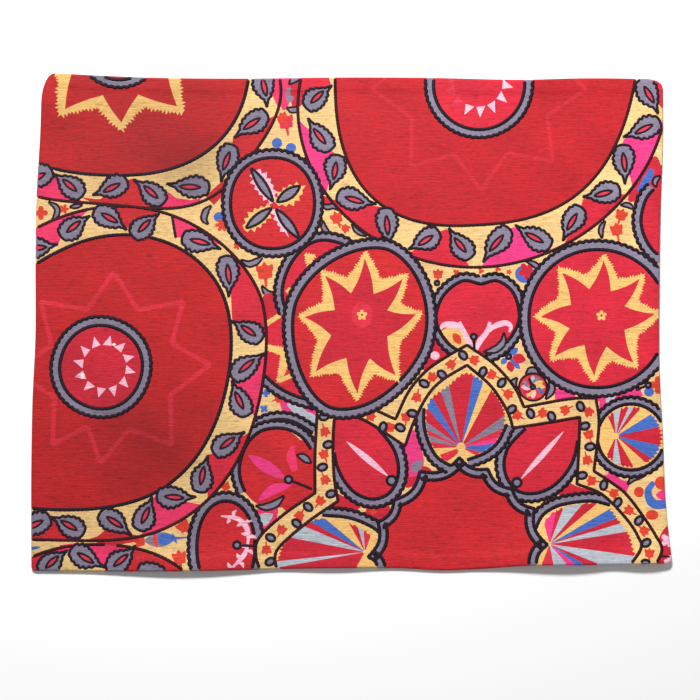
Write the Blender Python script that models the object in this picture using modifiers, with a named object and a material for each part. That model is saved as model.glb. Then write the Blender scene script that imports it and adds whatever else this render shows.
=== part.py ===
"""Suzani embroidered panel lying flat: one closed cloth with turned edges.

The panel rests on its underside. Its outline is a slightly uneven rectangle with
softened corners, its front edge lifts off the table in shallow waves, and the
turned-under hem makes the cloth a little thicker all round its edge.
Metres, +Z up, +Y away from the viewer, origin under the middle of the panel.
"""

import math

import bpy
import numpy as np

# Plan of the panel
HALF_WIDTH = 0.2300
HALF_DEPTH = 0.1810

# Section of the cloth
CLOTH_THICKNESS = 0.0022
HEM_THICKNESS = 0.0027
HEM_WIDTH = 0.0130
HEM_FADE = 0.0050
RIM_ROUND = 0.0007

# Grid lines of the cloth, packed towards the edges by a power law
LINES_ACROSS = 48
LINES_DEEP = 38
EDGE_PACKING = 1.49

# How far each edge bows outwards from the straight rectangle.
# Columns: station along the edge, bow.
LEFT_EDGE = (
    (-0.183, 0.0001),
    (-0.104, 0.0019),
    (-0.060, 0.0021),
    (-0.015, 0.0010),
    (0.045, 0.0022),
    (0.090, 0.0025),
    (0.135, 0.0008),
    (0.183, -0.0005),
)
RIGHT_EDGE = (
    (-0.180, 0.0010),
    (-0.160, -0.0005),
    (-0.135, -0.0022),
    (-0.088, -0.0031),
    (-0.030, -0.0047),
    (0.045, -0.0031),
    (0.090, -0.0007),
    (0.135, 0.0018),
    (0.180, 0.0027),
)
FRONT_EDGE = (
    (-0.230, 0.0022),
    (-0.180, 0.0026),
    (-0.108, 0.0022),
    (-0.050, 0.0009),
    (0.004, 0.0001),
    (0.038, 0.0004),
    (0.064, 0.0018),
    (0.093, 0.0008),
    (0.122, -0.0013),
    (0.180, -0.0021),
    (0.230, -0.0032),
)
BACK_EDGE = (
    (-0.225, 0.0026),
    (-0.193, 0.0018),
    (-0.150, 0.0001),
    (-0.085, -0.0006),
    (0.004, 0.0003),
    (0.058, -0.0001),
    (0.125, -0.0019),
    (0.175, -0.0004),
    (0.230, -0.0012),
)

# Softened corners. Columns: side in X, side in Y, reach along X, reach along Y.
CORNERS = (
    (-1, 1, 0.0090, 0.0220),
    (1, 1, 0.0110, 0.0070),
    (-1, -1, 0.0030, 0.0030),
    (1, -1, 0.0040, 0.0040),
)

# Places where the cloth stands off the table, each a round-topped swell.
# Columns: centre X, centre Y, reach along X, reach along Y, height.
SWELLS = (
    (0.152, -0.188, 0.070, 0.055, 0.0050),
    (0.214, -0.184, 0.034, 0.040, 0.0042),
    (-0.118, -0.190, 0.085, 0.042, 0.0030),
    (-0.012, -0.188, 0.048, 0.034, 0.0018),
    (-0.228, 0.178, 0.050, 0.050, 0.0030),
    (0.232, 0.020, 0.034, 0.080, 0.0022),
    (0.120, 0.186, 0.070, 0.030, 0.0016),
)

CLOTH_COLOUR = (0.52, 0.03, 0.05, 1.0)
CLOTH_ROUGHNESS = 0.85


def clear_scene():
    """Remove every object that the file starts with."""
    for item in list(bpy.data.objects):
        bpy.data.objects.remove(item, do_unlink=True)


def smooth_curve(table, at):
    """Value at the stations `at` on a smooth curve through a table's points."""
    stations, values = np.array(table).T
    slopes = np.gradient(values, stations)
    at = np.clip(at, stations[0], stations[-1])
    left = np.clip(np.searchsorted(stations, at, side="right") - 1, 0, len(stations) - 2)
    span = stations[left + 1] - stations[left]
    t = (at - stations[left]) / span
    start, end = values[left], values[left + 1]
    rise = (3.0 - 2.0 * t) * t * t
    lead_out = t * (1.0 - t) ** 2 * span * slopes[left]
    lead_in = -t * t * (1.0 - t) * span * slopes[left + 1]
    return start + (end - start) * rise + lead_out + lead_in


def soften_corners(x, y):
    """Pull the square corners of the rectangle in to quarter ovals."""
    x, y = x.copy(), y.copy()
    for side_x, side_y, reach_x, reach_y in CORNERS:
        across = 1.0 - (HALF_WIDTH - side_x * x) / reach_x
        along = 1.0 - (HALF_DEPTH - side_y * y) / reach_y
        inside = (across > 0.0) & (along > 0.0)
        round_across = across * np.sqrt(1.0 - 0.5 * np.clip(along, 0.0, 1.0) ** 2)
        round_along = along * np.sqrt(1.0 - 0.5 * np.clip(across, 0.0, 1.0) ** 2)
        x = np.where(inside, side_x * (HALF_WIDTH - (1.0 - round_across) * reach_x), x)
        y = np.where(inside, side_y * (HALF_DEPTH - (1.0 - round_along) * reach_y), y)
    return x, y


def plan(x, y):
    """Plan position of a point of the straight rectangle once its edges bow."""
    x, y = soften_corners(x, y)
    side_bow = np.where(x > 0.0, smooth_curve(RIGHT_EDGE, y), smooth_curve(LEFT_EDGE, y))
    end_bow = np.where(y > 0.0, smooth_curve(BACK_EDGE, x), smooth_curve(FRONT_EDGE, x))
    return x + side_bow * x / HALF_WIDTH, y + end_bow * y / HALF_DEPTH


def lift(x, y):
    """Height of the underside above the table: a sum of round-topped swells."""
    height = np.zeros_like(x)
    for centre_x, centre_y, reach_x, reach_y, top in SWELLS:
        away = np.hypot((x - centre_x) / reach_x, (y - centre_y) / reach_y)
        height += top * np.where(away < 1.0, np.cos(0.5 * math.pi * np.minimum(away, 1.0)) ** 2, 0.0)
    return height


def thickness(x, y):
    """Cloth thickness: doubled-over hem at the edge, fading into the field."""
    inset = np.minimum(HALF_WIDTH - np.abs(x), HALF_DEPTH - np.abs(y))
    t = np.clip((HEM_WIDTH - inset) / HEM_FADE, 0.0, 1.0)
    return CLOTH_THICKNESS + (HEM_THICKNESS - CLOTH_THICKNESS) * t * t * (3.0 - 2.0 * t)


def packed(share):
    """Grid station from -1 to 1, moved so that lines gather near the edges."""
    return np.sign(share) * (1.0 - (1.0 - np.abs(share)) ** EDGE_PACKING)


def cloth_material():
    """Matte red cotton of the panel's ground."""
    material = bpy.data.materials.new("suzani_cloth")
    material.use_nodes = True
    shader = material.node_tree.nodes["Principled BSDF"]
    shader.inputs["Base Color"].default_value = CLOTH_COLOUR
    shader.inputs["Roughness"].default_value = CLOTH_ROUGHNESS
    shader.inputs["Metallic"].default_value = 0.0
    return material


def build_panel(collection):
    """The cloth: an underside grid that Solidify thickens upwards."""
    bpy.ops.mesh.primitive_grid_add(
        x_subdivisions=LINES_ACROSS, y_subdivisions=LINES_DEEP, size=2.0
    )
    panel = bpy.context.active_object
    panel.name = panel.data.name = "suzani_panel"
    mesh = panel.data
    points = np.zeros(len(mesh.vertices) * 3)
    mesh.vertices.foreach_get("co", points)
    points = points.reshape(-1, 3)
    flat_x = HALF_WIDTH * packed(points[:, 0])
    flat_y = HALF_DEPTH * packed(points[:, 1])
    x, y = plan(flat_x, flat_y)
    z = lift(x, y)
    mesh.vertices.foreach_set("co", np.column_stack((x, y, z)).ravel())
    mesh.update()

    section = panel.vertex_groups.new(name="section")
    for index, depth in enumerate(thickness(flat_x, flat_y)):
        section.add([index], float(depth / HEM_THICKNESS), "REPLACE")

    shell = panel.modifiers.new("cloth_thickness", "SOLIDIFY")
    shell.thickness = HEM_THICKNESS
    shell.offset = 1.0
    shell.use_even_offset = False
    shell.vertex_group = section.name

    rim = panel.modifiers.new("rounded_rim", "BEVEL")
    rim.limit_method = "ANGLE"
    rim.angle_limit = math.radians(50.0)
    rim.width = RIM_ROUND
    rim.segments = 2

    mesh.materials.append(cloth_material())
    mesh.shade_smooth()
    for owner in list(panel.users_collection):
        owner.objects.unlink(panel)
    collection.objects.link(panel)
    return panel


def main():
    """Build the panel in its own collection."""
    clear_scene()
    collection = bpy.data.collections.new("suzani_embroidered_panel")
    bpy.context.scene.collection.children.link(collection)
    build_panel(collection)


main()
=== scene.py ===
"""Looks of the suzani panel: a red cloth laid flat, its face filled with couched thread.

The pattern is drawn on a chart in photograph pixels and carried to the cloth in
millimetres. Motifs are painter's layers: a later fill hides what lies under it.
"""

import logging
import math
from dataclasses import dataclass, field
from enum import Enum

import bpy
import numpy as np
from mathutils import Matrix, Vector
from mathutils.geometry import delaunay_2d_cdt


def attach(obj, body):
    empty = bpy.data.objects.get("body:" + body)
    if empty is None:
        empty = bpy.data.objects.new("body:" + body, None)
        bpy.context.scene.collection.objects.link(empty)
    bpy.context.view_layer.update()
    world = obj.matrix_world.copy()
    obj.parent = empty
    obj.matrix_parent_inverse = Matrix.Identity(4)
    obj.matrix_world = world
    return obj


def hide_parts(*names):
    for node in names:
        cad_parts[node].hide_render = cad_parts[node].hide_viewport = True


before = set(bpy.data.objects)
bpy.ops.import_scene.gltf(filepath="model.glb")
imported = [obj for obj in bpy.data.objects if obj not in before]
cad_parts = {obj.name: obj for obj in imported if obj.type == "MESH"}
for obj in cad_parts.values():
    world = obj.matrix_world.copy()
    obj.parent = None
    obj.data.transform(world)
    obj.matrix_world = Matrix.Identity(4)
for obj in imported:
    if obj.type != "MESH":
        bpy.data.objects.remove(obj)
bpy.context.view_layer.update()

LOG = logging.getLogger("suzani_panel")
MM = 0.001
SEED = 417


class Thread(Enum):
    """Dyed threads of the fillings, and the white of painted glints, as red, green and blue from 0 to
    255.
    """

    RUBY = (194, 26, 30)
    BRICK = (192, 26, 36)
    SCARLET = (206, 34, 42)
    CRIMSON = (205, 30, 52)
    ROSE_RED = (214, 34, 56)
    MADDER = (188, 26, 40)
    GHOST = (224, 44, 66)
    FAINT = (216, 40, 57)
    HAZE = (206, 36, 50)
    BERRY = (222, 54, 82)
    HOT_PINK = (240, 52, 102)
    MAGENTA = (240, 56, 130)
    PALE_PINK = (252, 192, 212)
    STRAW = (243, 200, 134)
    GOLD = (246, 195, 114)
    SLATE = (134, 126, 146)
    MIST = (184, 190, 200)
    COBALT = (70, 108, 192)
    FLAME = (224, 62, 40)
    # Painted highlight: white for the glint specks on the left roundel's spikes.
    GLINT_WHITE = (250, 240, 240)

    def linear(self) -> np.ndarray:
        """Return the colour in linear light, from 0 to 1."""
        share = np.array(self.value, float) / 255.0
        return np.where(share <= 0.04045, share / 12.92, ((share + 0.055) / 1.055) ** 2.4)


@dataclass(frozen=True)
class Stitch:
    """Chain stitch of one thread: its width, height, link and colour."""

    width: float
    crown: float
    link: float
    dye: tuple


class Outline(Enum):
    """Kinds of chain-stitch outline, in millimetres."""

    BOLD = Stitch(2.75, 0.60, 3.2, (34, 16, 32))
    LEAF = Stitch(2.15, 0.50, 2.8, (36, 20, 36))
    BROWN = Stitch(2.5, 0.52, 2.8, (52, 12, 20))
    FINE = Stitch(1.7, 0.42, 2.2, (44, 18, 32))


@dataclass(frozen=True)
class ChartView:
    """Where the camera stands, and how a chart pixel falls on the cloth."""

    lens: float = 75.0
    sensor: float = 36.0
    frame_px: float = 700.0
    distance: float = 1066.0
    tilt_deg: float = 5.9
    aim: tuple = (-0.6, -23.3, 2.4)

    def axes(self) -> tuple:
        """Return the eye, and unit vectors forwards, right and up, in millimetres."""
        tilt = math.radians(self.tilt_deg)
        aim = np.array(self.aim)
        forward = np.array([0.0, math.sin(tilt), -math.cos(tilt)])
        right = np.array([1.0, 0.0, 0.0])
        return aim - forward * self.distance, forward, right, np.cross(right, forward)

    def on_cloth(self, chart: np.ndarray) -> np.ndarray:
        """Carry chart points to the cloth's plane: eye + ray * (height / ray's fall).

        Args:
            chart: points in photograph pixels, shape (n, 2).

        Returns:
            Points in millimetres, shape (n, 2).
        """
        eye, forward, right, up = self.axes()
        chart = np.atleast_2d(np.asarray(chart, float))
        focal = self.lens / self.sensor * self.frame_px
        aside = (chart[:, 0:1] - self.frame_px / 2) / focal
        down = (chart[:, 1:2] - self.frame_px / 2) / focal
        ray = forward + aside * right - down * up
        reach = (self.aim[2] - eye[2]) / ray[:, 2:3]
        return (eye + ray * reach)[:, :2]


VIEW = ChartView()


# Curves

STROKE_STEP = 1.5
LOBE_POINTS = 7.0
FULLNESS = 0.8
TOOTH_WOBBLE = 0.35
TOOTH_TURN = 2.3
LENS_POINTS = 15
STRETCH_POINTS = 24


def smooth_path(knots: list, closed: bool = False, spans: int = 10) -> np.ndarray:
    """Draw a cubic through knots whose slope at each is half its neighbours' chord.

    Args:
        knots: points of the curve.
        closed: whether the last knot joins the first.
        spans: points worked out for each stretch.

    Returns:
        Points along the curve.
    """
    k = np.asarray(knots, float)
    if closed:
        ext = np.vstack((k[-1:], k, k[:2]))
    else:
        ext = np.vstack((2 * k[:1] - k[1:2], k, 2 * k[-1:] - k[-2:-1]))
    a, b, c, d = (ext[i:len(ext) - 3 + i, None, :] for i in range(4))
    t = np.linspace(0.0, 1.0, spans, endpoint=False)[None, :, None]
    cubic = 2 * b + (c - a) * t + (2 * a - 5 * b + 4 * c - d) * t ** 2
    path = 0.5 * (cubic + (3 * b - a - 3 * c + d) * t ** 3)
    path = path.reshape(-1, 2)
    return path if closed else np.vstack((path, k[-1:]))


def lengths(path: np.ndarray) -> np.ndarray:
    """Return the running length at each point of a path."""
    return np.concatenate(([0.0], np.cumsum(np.hypot(*np.diff(path, axis=0).T))))


def evenly(path: np.ndarray, step: float, closed: bool = False) -> np.ndarray:
    """Space a path's points evenly along its length.

    Args:
        path: points of the curve.
        step: distance wanted between points.
        closed: whether the last point joins the first.

    Returns:
        The respaced points, with no doubled end when closed.
    """
    path = np.asarray(path, float)
    if closed:
        path = np.vstack((path, path[:1]))
    run = lengths(path)
    count = max(int(round(run[-1] / step)), 3)
    at = np.linspace(0.0, run[-1], count + 1)
    even = np.column_stack([np.interp(at, run, path[:, axis]) for axis in (0, 1)])
    return even[:-1] if closed else even


def facing(path: np.ndarray, closed: bool = False) -> np.ndarray:
    """Work out the unit normals of a path.

    Args:
        path: points of the curve.
        closed: whether the last point joins the first.

    Returns:
        Normals that point outwards when the path is closed, or else to one side of it.
    """
    if closed:
        ahead = np.roll(path, -1, axis=0) - np.roll(path, 1, axis=0)
        x, y = path.T
        turn = np.sign(np.sum(x * np.roll(y, -1) - np.roll(x, -1) * y))
    else:
        ahead = np.gradient(path, axis=0)
        turn = 1.0
    ahead = ahead / np.maximum(np.hypot(*ahead.T), 1e-9)[:, None]
    return np.column_stack((ahead[:, 1], -ahead[:, 0])) * turn


def scalloped(path: np.ndarray, pitch: float, depth: float, closed: bool = False) -> np.ndarray:
    """Push a path out in round lobes: depth * |sin(pi * length / pitch)|^0.8.

    Args:
        path: points of the curve.
        pitch: length of a lobe.
        depth: how far a lobe stands out; a negative depth turns it inwards.
        closed: whether the last point joins the first.

    Returns:
        The lobed path.
    """
    even = evenly(path, pitch / LOBE_POINTS, closed)
    run = np.arange(len(even)) / max(len(even) - (0 if closed else 1), 1)
    lobes = max(round(lengths(path)[-1] / pitch), 1)
    push = depth * np.abs(np.sin(math.pi * lobes * run)) ** FULLNESS
    return even + facing(even, closed) * push[:, None]


def toothed(path: np.ndarray, pitch: float, depth: float) -> np.ndarray:
    """Give a closed path sharp teeth.

    Args:
        path: points of the closed curve.
        pitch: length of a tooth.
        depth: how far a tooth stands out, give or take a third.

    Returns:
        The toothed path.
    """
    even = evenly(path, pitch / 2.0, True)
    even = even[: len(even) - len(even) % 2]
    push = depth * (np.arange(len(even)) % 2)
    wobble = TOOTH_WOBBLE * depth * np.sin(np.arange(len(even)) * TOOTH_TURN)
    return even + facing(even, True) * (push + np.where(push > 0, wobble, 0.0))[:, None]


def spindle(root: tuple, tip: tuple, width: float, lean: float = 0.0) -> np.ndarray:
    """Outline a lens: half-width = width/2 * sin(pi * u)^0.8 along root to tip.

    Args:
        root: one end.
        tip: the other end.
        width: full width at its middle.
        lean: how far its middle bows aside, as a share of its length.

    Returns:
        Points of the closed outline.
    """
    root, tip = np.array(root, float), np.array(tip, float)
    along = tip - root
    aside = np.array([along[1], -along[0]])
    u = np.linspace(0.0, 1.0, LENS_POINTS)
    half = 0.5 * width * np.sin(math.pi * u) ** FULLNESS / np.hypot(*along)
    bow = lean * np.sin(math.pi * u)
    one = root + u[:, None] * along + (bow + half)[:, None] * aside
    two = root + u[:, None] * along + (bow - half)[:, None] * aside
    return np.vstack((one, two[-2:0:-1]))


def ribbon(knots: list, widths: tuple) -> np.ndarray:
    """Outline a stroke along a smooth path.

    Args:
        knots: points that the path goes through.
        widths: widths of the stroke at even shares of its length.

    Returns:
        Points of the closed outline.
    """
    path = evenly(smooth_path(knots), STROKE_STEP)
    share = np.linspace(0.0, 1.0, len(path))
    half = np.interp(share, np.linspace(0.0, 1.0, len(widths)), widths) / 2.0
    push = facing(path) * half[:, None]
    return np.vstack((path + push, (path - push)[::-1]))


def within(points: np.ndarray, polygon: np.ndarray) -> np.ndarray:
    """Tell which points lie in a polygon: an odd count of its edges lies to their right.

    Args:
        points: points, shape (n, 2).
        polygon: corners of the polygon in order.

    Returns:
        True for each point inside it.
    """
    x, y = points[:, 0:1], points[:, 1:2]
    ax, ay = polygon.T
    bx, by = np.roll(polygon, -1, axis=0).T
    fall = np.where(by == ay, 1.0, by - ay)
    crosses = ((ay > y) != (by > y)) & (x < ax + (y - ay) * (bx - ax) / fall)
    return np.sum(crosses, axis=1) % 2 == 1


@dataclass(frozen=True)
class Oval:
    """Squared oval: |x/rx|^power + |y/ry|^power = 1, swollen three ways round."""

    centre: tuple
    reach: tuple
    power: float = 2.0
    tilt: float = 0.0
    swell: tuple = (0.0, 0.0)

    def at(self, angles: np.ndarray) -> np.ndarray:
        """Work out points of the oval.

        Reach = (|cos a / rx|^power + |sin a / ry|^power)^(-1 / power), times 1 + swell in
        cos 3a and sin 3a, all turned by the tilt.

        Args:
            angles: the oval's own angles in radians.

        Returns:
            Points in chart pixels.
        """
        c, s = np.cos(angles), np.sin(angles)
        far = np.abs(c / self.reach[0]) ** self.power + np.abs(s / self.reach[1]) ** self.power
        far = far ** (-1.0 / self.power)
        far = far * (1 + self.swell[0] * np.cos(3 * angles) + self.swell[1] * np.sin(3 * angles))
        turn = math.radians(self.tilt)
        x = far * (c * math.cos(turn) - s * math.sin(turn))
        y = far * (c * math.sin(turn) + s * math.cos(turn))
        return np.column_stack((x, y)) + self.centre

    def path(self, count: int = 220) -> np.ndarray:
        """Return the whole oval."""
        return self.at(np.linspace(0.0, 2 * math.pi, count, endpoint=False))

    def angle_of(self, point: tuple) -> float:
        """Return the oval's own angle towards a point."""
        x, y = np.array(point, float) - self.centre
        return math.atan2(y, x) - math.radians(self.tilt)


def between(oval: Oval, start: tuple, end: tuple) -> np.ndarray:
    """Follow an oval the short way round.

    Args:
        oval: the oval.
        start: point in whose direction the stretch begins.
        end: point in whose direction it ends.

    Returns:
        Points of the stretch.
    """
    first, last = oval.angle_of(start), oval.angle_of(end)
    turn = (last - first + math.pi) % (2 * math.pi) - math.pi
    return oval.at(first + np.linspace(0.0, turn, STRETCH_POINTS))


# The chart of fills and outlines

BAND_STEP = 2.0
LOBE = (6.4, 1.9)
SMALL_LOBE = (6.0, 1.4)
DOT_POINTS = 18


@dataclass
class Chart:
    """Painter's list of fills and stitched lines, in millimetres on the cloth."""

    fills: list = field(default_factory=list)
    lines: list = field(default_factory=list)

    def fill(self, outline: np.ndarray, thread: Thread) -> None:
        """Add a filled shape over all that is there.

        Args:
            outline: closed outline in chart pixels.
            thread: thread that fills it.
        """
        path = VIEW.on_cloth(outline)
        x, y = path.T
        if np.sum(x * np.roll(y, -1) - np.roll(x, -1) * y) < 0:
            path = path[::-1]
        self.fills.append((path, thread))

    def line(self, path: np.ndarray, kind: Outline, closed: bool = False) -> None:
        """Add a stitched line over all fills that are there."""
        self.lines.append((VIEW.on_cloth(path), kind, closed, len(self.fills)))

    def edged(self, outline: np.ndarray, thread: Thread, kind: Outline) -> None:
        """Add a filled shape with its outline stitched."""
        self.fill(outline, thread)
        self.line(outline, kind, closed=True)

    def rule(self, start: tuple, end: tuple, kind: Outline = Outline.LEAF) -> None:
        """Add a straight stitched line."""
        self.line(evenly(np.array([start, end], float), 1.0), kind)

    def band(self, path: np.ndarray, width: float) -> None:
        """Add a slate band beside an open path, plain on the path and scalloped outside.

        Args:
            path: inner edge in chart pixels.
            width: width of the band, to the path's left when positive.
        """
        even = evenly(path, BAND_STEP)
        pitch, depth = LOBE
        outer = scalloped(even + facing(even) * width, pitch, math.copysign(depth, width))
        self.fill(np.vstack((even, outer[::-1])), Thread.SLATE)
        self.line(outer, Outline.BOLD)
        self.line(even, Outline.BOLD)

    def ringed(self, path: np.ndarray, width: float, thread: Thread, lobe: tuple = LOBE) -> None:
        """Add a closed shape in a slate ring that is scalloped outside.

        Args:
            path: outline of the shape in chart pixels.
            width: width of the ring.
            thread: thread of the shape.
            lobe: pitch and depth of the scallops.
        """
        even = evenly(path, BAND_STEP, True)
        outer = scalloped(even + facing(even, True) * width, *lobe, True)
        self.edged(outer, Thread.SLATE, Outline.BOLD)
        self.edged(path, thread, Outline.BOLD)

    def eyelet(self, centre: tuple, size: float = 4.2, stem: tuple = ()) -> None:
        """Add a slate dot ringed in dark stitches, with a stem to `stem` if given."""
        if stem:
            self.rule(centre, stem)
        self.edged(Oval(centre, (size, size)).path(22), Thread.SLATE, Outline.LEAF)

    def uppermost(self, points: np.ndarray) -> np.ndarray:
        """Find the last fill over each point.

        Args:
            points: points in millimetres.

        Returns:
            The fills' numbers from 1, or 0 for bare ground.
        """
        number = np.zeros(len(points), int)
        for layer, (path, _) in enumerate(self.fills, 1):
            near = ((points > path.min(axis=0)) & (points < path.max(axis=0))).all(axis=1)
            near = np.flatnonzero(near)
            number[near[within(points[near], path)]] = layer
        return number

    def blossom(self, centre: tuple, size: float, thread: Thread = Thread.FLAME,
                lobes: int = 5, turn: float = 0.0) -> None:
        """Add a small lobed flower: radius = size * (1 + |cos(lobes a / 2)|^0.8) / 2.

        Args:
            centre: its middle.
            size: radius to the tips of the lobes.
            thread: thread that fills it.
            lobes: number of lobes.
            turn: direction of the first lobe in degrees.
        """
        a = np.linspace(0.0, 2 * math.pi, lobes * 8, endpoint=False)
        far = size * (0.5 + 0.5 * np.abs(np.cos(lobes * a / 2.0)) ** FULLNESS)
        spin = a + math.radians(turn)
        points = np.column_stack((far * np.cos(spin), far * np.sin(spin)))
        self.fill(points + np.array(centre, float), thread)

    def tulip(self, centre: tuple, size: float, heading: float,
              thread: Thread = Thread.FLAME) -> None:
        """Add a small three-pronged flower on a stub of stem.

        Args:
            centre: its middle.
            size: length from the middle to the prongs' ends.
            heading: way that it points, in degrees anticlockwise from the right.
            thread: thread that fills it.
        """
        side = np.array([(-1.1, 0.1), (-0.5, 0.16), (-0.42, 0.56), (0.02, 0.6), (0.34, 0.72),
                         (0.7, 0.66), (0.6, 0.28)])
        whole = np.vstack((side * (1, -1), [(0.95, 0.0)], side[::-1])) * size
        turn = math.radians(-heading)
        spin = np.array([(math.cos(turn), math.sin(turn)), (-math.sin(turn), math.cos(turn))])
        self.fill(smooth_path(whole @ spin, True, 3) + np.array(centre, float), thread)

    def hook(self, knots: list, width: float) -> None:
        """Add a small slate crescent edged in dark stitches."""
        self.edged(ribbon(knots, (1.0, width, width, 1.0)), Thread.SLATE, Outline.FINE)

    def patch(self, knots: list, thread: Thread) -> None:
        """Add a smooth-edged patch of one thread."""
        self.fill(smooth_path(knots, True, 5), thread)

    def dot(self, centre: tuple, reach: tuple, thread: Thread, points: int = DOT_POINTS) -> None:
        """Add a plain oval dot."""
        self.fill(Oval(centre, reach).path(points), thread)

    def petal(self, root: tuple, tip: tuple, width: float, thread: Thread, lean: float = 0.0) -> None:
        """Add a plain petal, a lens from root to tip."""
        self.fill(spindle(root, tip, width, lean), thread)

    def stroke(self, knots: list, widths: tuple, thread: Thread) -> None:
        """Add a plain stroke along a smooth path."""
        self.fill(ribbon(knots, widths), thread)


# Motifs


@dataclass
class Leaf:
    """Serrated leaf with an almond heart and a thin tail, from its round end to its tip."""

    centre: tuple
    tip: tuple
    heart: Thread = Thread.BERRY
    half_width: float = 9.4
    back: float = 15.5
    bend: float = 0.16
    bare: bool = False
    blunt_end: float = 0.36
    lobes: float = 7.5
    lobe_depth: float = 1.9
    lobe_end: float = 0.86
    tail: float = 2.8
    points: int = 64

    def heel(self) -> np.ndarray:
        """Return the middle of the leaf's round end."""
        along = np.array(self.tip, float) - self.centre
        return np.array(self.centre, float) - along / np.hypot(*along) * self.back

    def shape(self) -> np.ndarray:
        """Outline the blade: round up to its blunt end's share u0, then tapered to a thorn.

        Half-width = wide * sqrt(1 - (1 - u / u0)^2), then wide * (1 - t^1.6) with
        t = (u - u0) / 0.48, plus lobes of |sin(7.5 pi u)|. The lobes' depth wanders with
        the leaf's place, and on one side is what it lacks on the other.

        Returns:
            Points of the closed outline in chart pixels.
        """
        heel, tip = self.heel(), np.array(self.tip, float)
        along = tip - heel
        size = np.hypot(*along)
        aside = np.array([along[1], -along[0]]) / size
        u = np.linspace(0.0, 1.0, self.points)
        blunt = np.sqrt(np.clip(1.0 - (1.0 - u / self.blunt_end) ** 2, 0.0, 1.0))
        taper = 1.0 - np.clip((u - self.blunt_end) / 0.48, 0.0, 1.0) ** 1.6
        half = self.half_width * np.where(u < self.blunt_end, blunt, taper)
        half = np.maximum(half, self.tail * np.clip((1.0 - u) / 0.3, 0.0, 1.0) * (u > 0.5))
        place = self.centre[0] * 0.7 + self.centre[1]
        deep = self.lobe_depth + 0.7 * np.sin(place + 9.0 * u)
        fade = np.clip(6.0 * (self.lobe_end - u), 0.0, 1.0)
        lobe = deep * np.abs(np.sin(self.lobes * math.pi * u)) * fade
        other = (4.0 - deep) * np.abs(np.sin(self.lobes * math.pi * u + 0.5)) * fade
        bow = self.bend * size * np.clip(u - 0.4, 0.0, 1.0) ** 2 * (1.0 if int(place) % 2 else -1.0)
        one = heel + u[:, None] * along + (bow + (half + lobe))[:, None] * aside
        two = heel + u[:, None] * along + (bow - (half + other))[:, None] * aside
        return np.vstack((one, two[-2:0:-1]))

    def draw(self, chart: Chart) -> None:
        """Add the leaf to the chart, or its midrib alone if it is bare.

        Args:
            chart: the chart that is drawn on.
        """
        heel, tip = self.heel(), np.array(self.tip, float)
        if self.bare:
            chart.rule(heel, tip)
            return
        chart.edged(self.shape(), Thread.SLATE, Outline.LEAF)
        core = spindle(heel + 0.20 * (tip - heel), heel + 0.70 * (tip - heel), 5.0)
        chart.edged(core, self.heart, Outline.FINE)


@dataclass
class LeafRoundel:
    """Large red disc in a band of leaves set between straw and pink fields.

    Each field is the thread between a leaf and the next, or None for straw. Patches are
    rows of corners and thread.
    """

    disc: Oval
    rim: Oval
    ground: Thread
    leaves: list
    fields: list
    patches: list = field(default_factory=list)
    disc_line: Outline = Outline.BOLD

    def ends(self, leaf: Leaf) -> tuple:
        """Return a leaf's end nearer the disc's middle, and its other end."""
        ends = [leaf.heel(), np.array(leaf.tip, float)]
        return tuple(sorted(ends, key=lambda p: float(np.hypot(*(p - self.disc.centre)))))

    def draw(self, chart: Chart) -> None:
        """Add band, fields, disc, lines and leaves to the chart.

        Args:
            chart: the chart that is drawn on.
        """
        chart.fill(self.rim.path(), Thread.STRAW)
        for first, last, thread in zip(self.leaves[:-1], self.leaves[1:], self.fields):
            if thread is None:
                continue
            inner = np.array([self.ends(first)[0], self.ends(last)[0]])
            outer = between(self.rim, self.ends(first)[1], self.ends(last)[1])
            chart.fill(np.vstack((inner, outer[::-1])), thread)
        for knots, thread in self.patches:
            chart.fill(np.array(knots, float), thread)
        chart.line(self.rim.path(), Outline.BROWN, True)
        chart.edged(self.disc.path(), self.ground, self.disc_line)
        for leaf in self.leaves:
            leaf.draw(chart)


@dataclass
class SpikeRing:
    """Slate scalloped ring round a disc with a circle of small pointed spikes.

    The spikes are pale in the directions between the two of `pale`, in degrees.
    """

    ring: Oval
    band: float
    ground: Thread
    spike_ring: Oval
    spikes: int
    spike: float
    pale: tuple
    first: float = 0.25
    half_base: float = 0.40
    lean: float = 0.12

    def draw(self, chart: Chart) -> None:
        """Add the ring, its disc and its spikes to the chart.

        Args:
            chart: the chart that is drawn on.
        """
        chart.ringed(self.ring.path(), self.band, self.ground, SMALL_LOBE)
        turn = 2 * math.pi / self.spikes
        for number in range(self.spikes):
            angle = turn * (number + self.first)
            spread = self.half_base * turn
            base = self.spike_ring.at(np.array([angle - spread, angle + spread]))
            peak = self.spike_ring.at(np.array([angle + self.lean * turn]))
            peak = peak + (peak - self.spike_ring.centre) * self.spike
            pale = self.pale[0] <= math.degrees(angle) <= self.pale[1]
            thread = Thread.PALE_PINK if pale else Thread.BERRY
            chart.fill(np.vstack((base[:1], peak, base[1:])), thread)


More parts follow.
